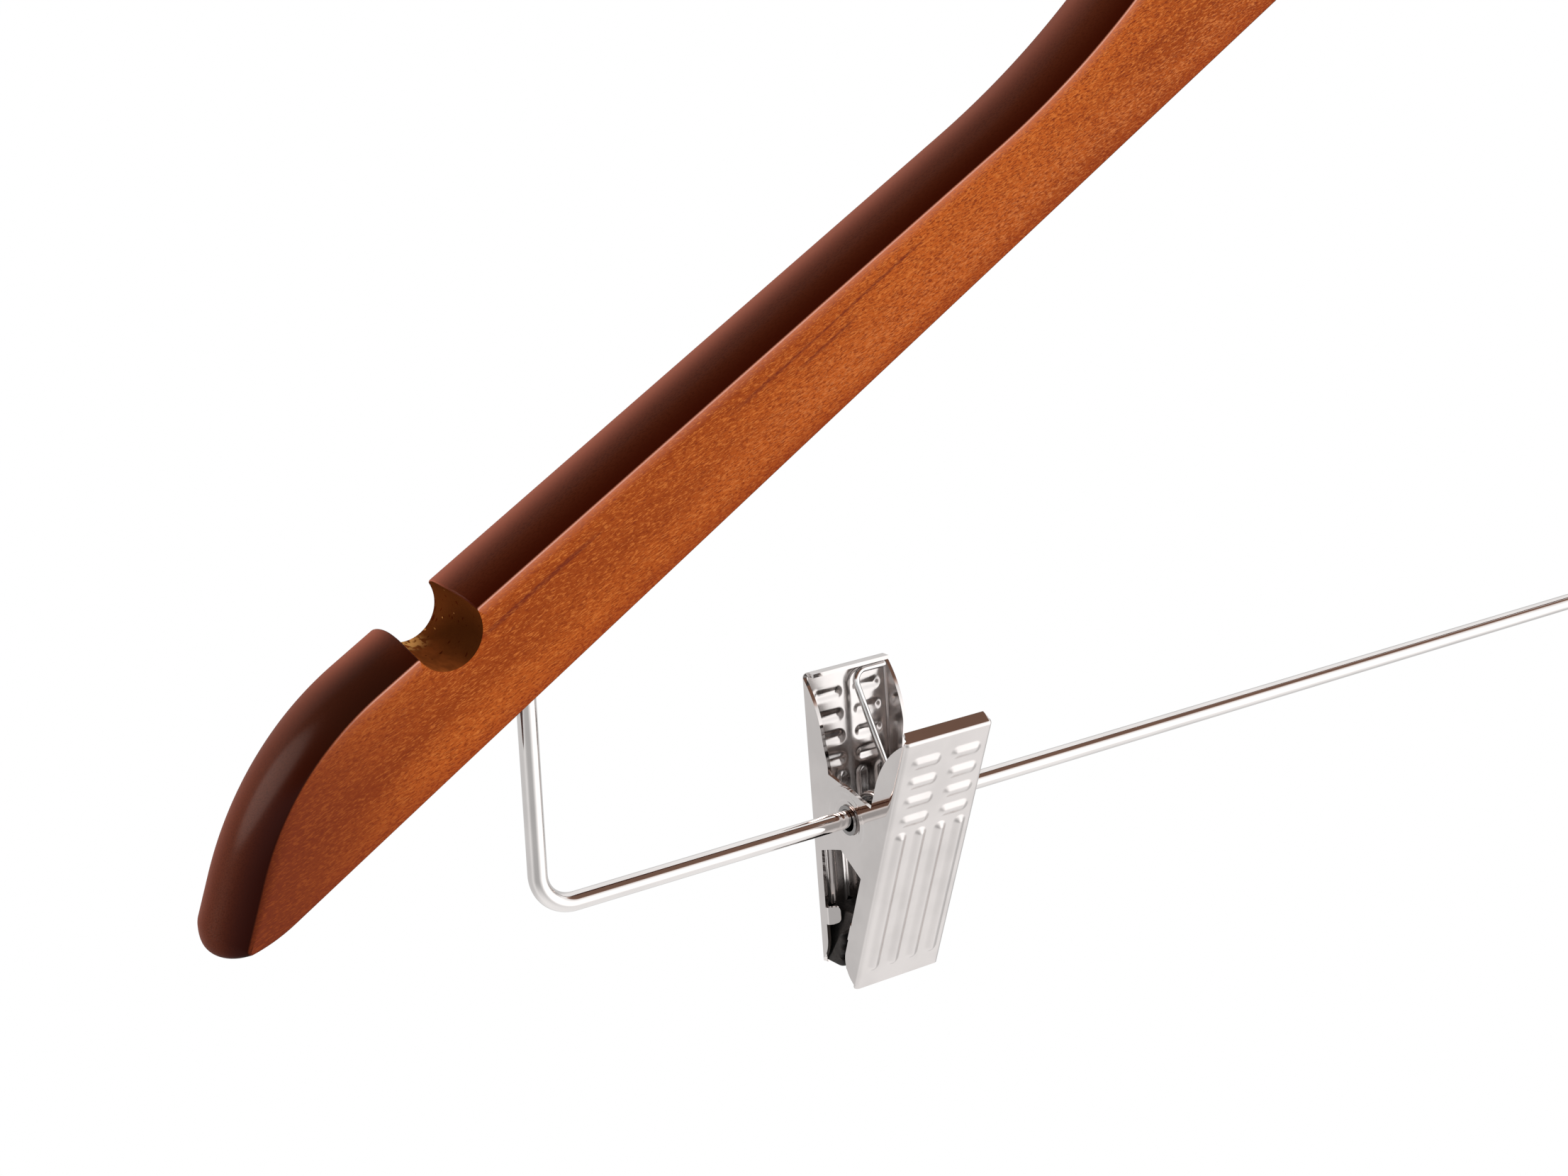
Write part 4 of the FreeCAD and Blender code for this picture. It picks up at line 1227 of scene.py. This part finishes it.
def padPiece(name, hinge, lean, turnedRound):
    # side view of the wedge with rounded corners and grooves, drawn in towards both ends
    slope = tangent(clip["halfAngle"])
    lift = pad["gap"] / 2 / cosine(clip["halfAngle"])
    back = jaw["plateDistance"] - jaw["sheet"]
    low, high = -pad["bottom"], -pad["top"]
    height = np.linspace(low, high, pad["faceRows"])
    step = (high - low) / (pad["grooves"] + 1)
    face = -height * slope + lift
    for groove in range(pad["grooves"]):
        away = np.abs(height - high + (groove + 1) * step)
        face = face + pad["grooveDepth"] * np.exp(-(away / (pad["grooveWidth"] * pad["grooveShare"])) ** 4)
    rounding = pad["rounding"]
    near = np.clip(rounding - np.minimum(height - low, high - height), 0, rounding)
    face = face + rounding - np.sqrt(rounding ** 2 - near ** 2)
    sideRun = np.linspace(0, 1, pad["sideRows"] + 1)[1:]
    backRun = np.linspace(high, low, pad["backRows"] + 1)[1:]
    upSide = face[-1] + (back - face[-1]) * sideRun
    downSide = back + (face[0] - back) * sideRun[:-1]
    level = np.concatenate([height, np.full_like(upSide, high), backRun, np.full_like(downSide, low)])
    outline = np.stack([level, np.concatenate([face, upSide, np.full_like(backRun, back), downSide])], -1)
    centre = np.array([(low + high) / 2, back])
    bulge = np.radians(pad["endTurn"])
    endX = pad["halfWidth"] - rounding + rounding * np.sin(bulge)
    draw = rounding * (1 - np.cos(bulge))
    x = np.concatenate([-endX[::-1], endX])
    inset = np.concatenate([draw[::-1], draw])
    span = np.abs(outline - centre).max(0)
    scale = 1 - inset[:, None] / span[None] * np.array([pad["endShares"]])
    rows = centre + (outline[None] - centre) * scale[:, None]
    narrow = smoothStep(-pad["neckHeight"][1], -pad["neckHeight"][0], rows[..., 0])
    across = x[:, None] * (1 - narrow * (1 - pad["neckWidth"] / pad["halfWidth"]))
    points = np.stack([across, -rows[..., 1], rows[..., 0]], -1)
    piece = meshPiece(name, points, tubeFaces(*rows.shape[:2]))[0]
    placeJaw(piece, hinge, lean, turnedRound)
    return piece


spring = {
    "wire": 1.1 * mm,
    "clearance": 0.35 * mm,
    "turns": 4.5,
    "pitch": 1.85 * mm,
    "legGap": 0.3 * mm,
    "legCorner": 0.7 * mm,
    "bendRadius": 2.0 * mm,
    "step": 0.16 * mm,
    "sides": 20,
    # points over which a leg eases into the coil
    "easing": 19,
    "bendPoints": 20,
    "tailPoints": 14,
    # how much of the corner's distance the twist between the jaws takes to each side
    "twistShare": 0.8,
}
tube = {"play": 0.35 * mm, "wall": 0.35 * mm, "flare": 0.26 * mm, "recess": 0.22 * mm,
        "flareRun": 0.34 * mm, "sides": 64}
tubeRadius = wireRadius + tube["play"] + tube["wall"]


def springPath():
    # coil round the hinge tube with one leg up the inside of each plate, before the clip's tilt
    radius = spring["wire"] / 2
    coil = tubeRadius + spring["clearance"] + radius
    half = spring["turns"] * spring["pitch"] / 2
    legOut = jaw["plateDistance"] - jaw["sheet"] - spring["legGap"] - radius
    legTop = jaw["top"] - jaw["sheet"] - spring["legGap"] - radius
    endX = rearJaw["width"] / 2 - rearJaw["earInset"] - jaw["sheet"] - spring["legGap"]
    touchAngle = math.degrees(math.atan2(legOut, legTop) + math.acos(coil / math.hypot(legTop, legOut)))
    base = coil * directions(np.array(touchAngle))

    def place(sign, x, height, out):
        point = turnAboutX(np.array([[sign * x, -out, height]]), clip["halfAngle"])[0]
        return point * np.array([1, -sign, 1])

    legs = []
    for sign in (1, -1):
        foot = place(sign, half, *base)
        corner = place(sign, spring["legCorner"], legTop, legOut)
        end = place(sign, endX, legTop, legOut)
        bend = roundedCorner(foot, corner, end, spring["bendRadius"], spring["bendPoints"])
        legs.append((foot, bend, end))
    (foot, bend, end), (frontFoot, frontBend, frontEnd) = legs
    begin = math.atan2(foot[2], foot[1])
    finish = math.atan2(frontFoot[2], frontFoot[1])
    sweep = (finish - begin) % (2 * math.pi) - 2 * math.pi * math.ceil(spring["turns"])
    coilCount = int(abs(sweep) * coil / spring["step"])
    turn = begin + sweep * np.linspace(0, 1, coilCount)
    winding = np.stack([np.linspace(half, -half, coilCount), coil * np.cos(turn), coil * np.sin(turn)], -1)
    legCount = int(np.linalg.norm(bend[0] - foot) / spring["step"])
    path = np.concatenate([np.linspace(bend[0], foot, legCount)[:-1], winding,
                           np.linspace(frontFoot, frontBend[0], legCount)[1:]])
    # the legs ease into the coil sideways
    window = spring["easing"]
    padded = np.pad(path[:, 0], window // 2, mode="reflect", reflect_type="odd")
    path[:, 0] = np.convolve(padded, np.ones(window) / window, "valid")
    tail = np.linspace(end, bend[-1], spring["tailPoints"])[:-1]
    frontTail = np.linspace(frontBend[-1], frontEnd, spring["tailPoints"])[1:]
    return np.concatenate([tail, bend[::-1][:-1], path, frontBend[1:], frontTail])


def springPiece(name, hinge):
    # a wire along the path, its rings lined up with the way out from the hinge
    path = springPath()
    across = path * np.array([0, 1, 1]) + np.array([1e-4, 0, 0])
    piece = wireAlong(name, path, spring["wire"] / 2, spring["sides"], across)
    placeJaw(piece, hinge, clip["tilt"], False)
    return piece


def tubeProfile():
    # sleeve with flared ends, as distance along and radius
    half = frontJaw["width"] / 2 - tube["recess"]
    bore = wireRadius + tube["play"]
    flareStart = half - tube["flareRun"]
    outer = [(-half, tubeRadius + tube["flare"]), (-flareStart, tubeRadius), (flareStart, tubeRadius),
             (half, tubeRadius + tube["flare"])]
    return np.array(outer + [(half, bore), (-half, bore)])


for sideName in ("left", "right"):
    hinge = np.array(joints[sideName + "_clip_open"]["pos_m"])
    rearBody, frontBody = sideName + "_rear", sideName + "_front"
    # each jaw's body and name, its sheet, its lean, whether it is turned round, and its inside
    jaws = [(frontBody, "Front", frontJaw, clip["tilt"] + clip["halfAngle"], False, shadedMetal),
            (rearBody, "Rear", rearJaw, clip["tilt"] - clip["halfAngle"], True, insideMetal)]
    for body, label, kind, lean, turnedRound, inside in jaws:
        piece = jawPiece(sideName + label + "JawSheet", kind, hinge, lean, turnedRound, inside)
        dress(piece, [], body, body + "_jaw")
    for body, label, kind, lean, turnedRound, inside in jaws:
        piece = padPiece(sideName + label + "PadRubber", hinge, lean, turnedRound)
        dress(piece, [padRubber], body, body + "_pad")
    coil = springPiece(sideName + "SpringWire", hinge)
    dress(coil, [springMetal], None, sideName + "_spring")
    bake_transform(coil)
    points, faces = turned(tubeProfile(), tube["sides"], "x")
    sleeve = meshPiece(sideName + "HingeTube", points + hinge, faces)[0]
    # the hinge tube takes the darker metal as painted shade
    dress(sleeve, [shadedMetal], sideName + "_tube", sideName + "_hinge_tube")
print("clips made")


# Studio: floor, lights, world and camera

studio = {
    "floorHeight": -1.1,
    "floorSize": 16.0,
    "floorTone": 0.86,
    "worldDiffuse": 0.42,
    # what mirrors see: white all round, dimmer or brighter on four sides, and a dark warm ceiling
    "sides": [
        {"way": (-0.5, -0.86, 0), "spread": (0.55, 0.95), "tone": 0.5, "reach": (0.35, 1.6)},
        {"way": (-0.6, 0.8, 0), "spread": (0.2, 0.9), "tone": 0.68, "reach": (0.2, 1.0)},
        {"way": (0.9, 0.44, 0), "spread": (0.6, 0.95), "tone": 0.66, "reach": (0.2, 1.0)},
        {"way": (0.56, -0.83, 0), "spread": (0.55, 0.95), "tone": 1.45, "reach": (0.9, 2.0)},
    ],
    # the sides fade out upwards
    "sideWall": (0.1, 0.5),
    "ceilingReach": (0.45, 0.6),
    # how far back the ceiling goes, and by how much less towards the right
    "ceilingBack": (0.34, 0.46),
    "ceilingTurn": 0.7,
    "ceilingTone": 0.19,
    "ceilingTint": (1.0, 0.58, 0.42),
}
# name, place, aim, size, power and tint of each lamp, and whether it shows in mirrors
lamps = [
    ("frontSoftbox", (0.15, -1.25, 0.8), (-0.1, 0, -0.17), 1.6, 11.0, (1.0, 1.0, 1.0), False),
    ("fillSoftbox", (0.7, -1.2, 0.06), (-0.1, 0, -0.2), 1.3, 7.5, (1.0, 1.0, 1.0), False),
    ("leftSoftbox", (-1.36, 0.72, 0.5), (-0.2, 0, -0.2), 0.9, 11.0, (1.0, 0.82, 0.74), True),
    ("tipSoftbox", (-0.75, 0.26, -0.3), (-0.21, 0, -0.22), 0.3, 5.0, (1.0, 0.85, 0.75), False),
    ("topSoftbox", (-0.45, 1.3, 0.8), (-0.1, 0, -0.17), 1.2, 7.0, (1.0, 0.88, 0.8), False),
]


def lightPaths(start):
    # camera rays, those that mirrors and clear things send on, and both
    camera = start.node("ShaderNodeLightPath")
    mirror = (camera.other("Is Glossy Ray") + camera.other("Is Transmission Ray")).maths("MINIMUM", 1.0)
    return camera, mirror, (camera + mirror).maths("MINIMUM", 1.0)


def sideTones(start, way, share):
    # brightness in mirrors: one, changed by a share of each side that the direction points to
    total = 1.0
    for side in studio["sides"]:
        facing = start.vector("DOT_PRODUCT", way, side["way"], output="Value")
        total = facing.ranged(*side["spread"], 0.0, side["tone"] - 1) * share(side["reach"]) + total
    return total


def makeFloor():
    # white to the camera, toned by its sides in mirrors, and plain to the light
    size = studio["floorSize"] / 2
    corners = np.array([(-1, -1), (1, -1), (1, 1), (-1, 1)]) * size
    points = np.column_stack([corners, np.full(4, studio["floorHeight"])])
    floor = meshPiece("studioFloor", points, [[0, 1, 2, 3]])[0]
    tone = asColour([studio["floorTone"]] * 3)
    constants = {"Roughness": 0.9, "Specular IOR Level": 0.1, "Base Color": tone}
    material, start, surface = newMaterial("paleFloor", constants)
    tree = start.tree
    camera, mirror, shown = lightPaths(start)
    level = start.vector("MULTIPLY", start.place(), (1, 1, 0))
    way = start.vector("NORMALIZE", level)
    away = start.vector("LENGTH", level, output="Value")
    glow = camera + (1 - camera) * sideTones(start, way, lambda reach: away.ranged(*reach))
    white = start.node("ShaderNodeEmission", inputs={"Color": (1, 1, 1, 1), "Strength": glow})
    plain = Value(tree, surface.outputs[0])
    mixed = start.node("ShaderNodeMixShader", inputs={0: shown, 1: plain, 2: white})
    tree.links.new(mixed.socket, tree.nodes["Material Output"].inputs[0])
    floor.data.materials.append(material)


def makeWorld():
    # white to the camera; mirrors see toned walls and a dark warm ceiling
    world = bpy.data.worlds.new("studioWorld")
    bpy.context.scene.world = world
    world.use_nodes = True
    tree = world.node_tree
    start = Value(tree, None)
    camera, mirror, shown = lightPaths(start)
    way = start.node("ShaderNodeTexCoord", output=0)
    rightward = way.apart()
    back = rightward.other(1) + rightward * studio["ceilingTurn"]
    height = rightward.other(2)
    above = height.ranged(*studio["ceilingReach"]) * (1 - back.ranged(*studio["ceilingBack"]))
    low = height.ranged(*studio["sideWall"], 1, 0)
    lit = sideTones(start, way, lambda reach: low)
    seen = lit * (1 - above) + studio["ceilingTone"] * above
    strength = camera + mirror * seen + (1 - shown) * studio["worldDiffuse"]
    colour = (mirror * above).between((1, 1, 1), studio["ceilingTint"])
    background = tree.nodes["Background"]
    tree.links.new(colour.socket, background.inputs["Color"])
    tree.links.new(strength.socket, background.inputs["Strength"])


def makeLamps():
    # discs that face their aim
    for name, place, aim, size, power, tint, mirrored in lamps:
        light = bpy.data.lights.new(name, "AREA")
        light.shape = "DISK"
        light.size = size
        light.energy = power
        light.color = tint
        holder = bpy.data.objects.new(name, light)
        bpy.context.scene.collection.objects.link(holder)
        back = normalised(np.subtract(place, aim))
        right = normalised(np.cross((0, 0, 1), back))
        holder.matrix_world = poseMatrix(right, np.cross(back, right), back, place)
        holder.visible_camera = False
        holder.visible_glossy = mirrored


def poseMatrix(right, up, back, place):
    # the columns are the three ways and the place
    table = np.eye(4)
    table[:3, :3] = np.stack([right, up, back], 1)
    table[:3, 3] = place
    return Matrix(table.tolist())


photoCamera = {"lens": 56.27, "sensor": 36.0, "yaw": 33.27, "elevation": 18.31, "roll": -1.70,
               "place": (-0.32007, -0.28751, -0.08940), "clip": (0.01, 50.0)}


def makeCamera():
    # turned right by the yaw, down by the elevation, then rolled about its own view
    yaw, down, roll = (math.radians(photoCamera[key]) for key in ("yaw", "elevation", "roll"))
    right = np.array([math.cos(yaw), -math.sin(yaw), 0])
    ahead = np.array([math.sin(yaw) * math.cos(down), math.cos(yaw) * math.cos(down), -math.sin(down)])
    up = np.cross(right, ahead)
    rolledRight = math.cos(roll) * right + math.sin(roll) * up
    rolledUp = math.cos(roll) * up - math.sin(roll) * right
    lens = bpy.data.cameras.new("photoCamera")
    lens.lens = photoCamera["lens"]
    lens.sensor_width = photoCamera["sensor"]
    lens.clip_start, lens.clip_end = photoCamera["clip"]
    holder = bpy.data.objects.new("photoCamera", lens)
    bpy.context.scene.collection.objects.link(holder)
    holder.matrix_world = poseMatrix(rolledRight, rolledUp, -ahead, photoCamera["place"])
    bpy.context.scene.camera = holder


makeFloor()
makeWorld()
makeLamps()
makeCamera()
bpy.context.scene.view_settings.view_transform = "Standard"
print("studio made")
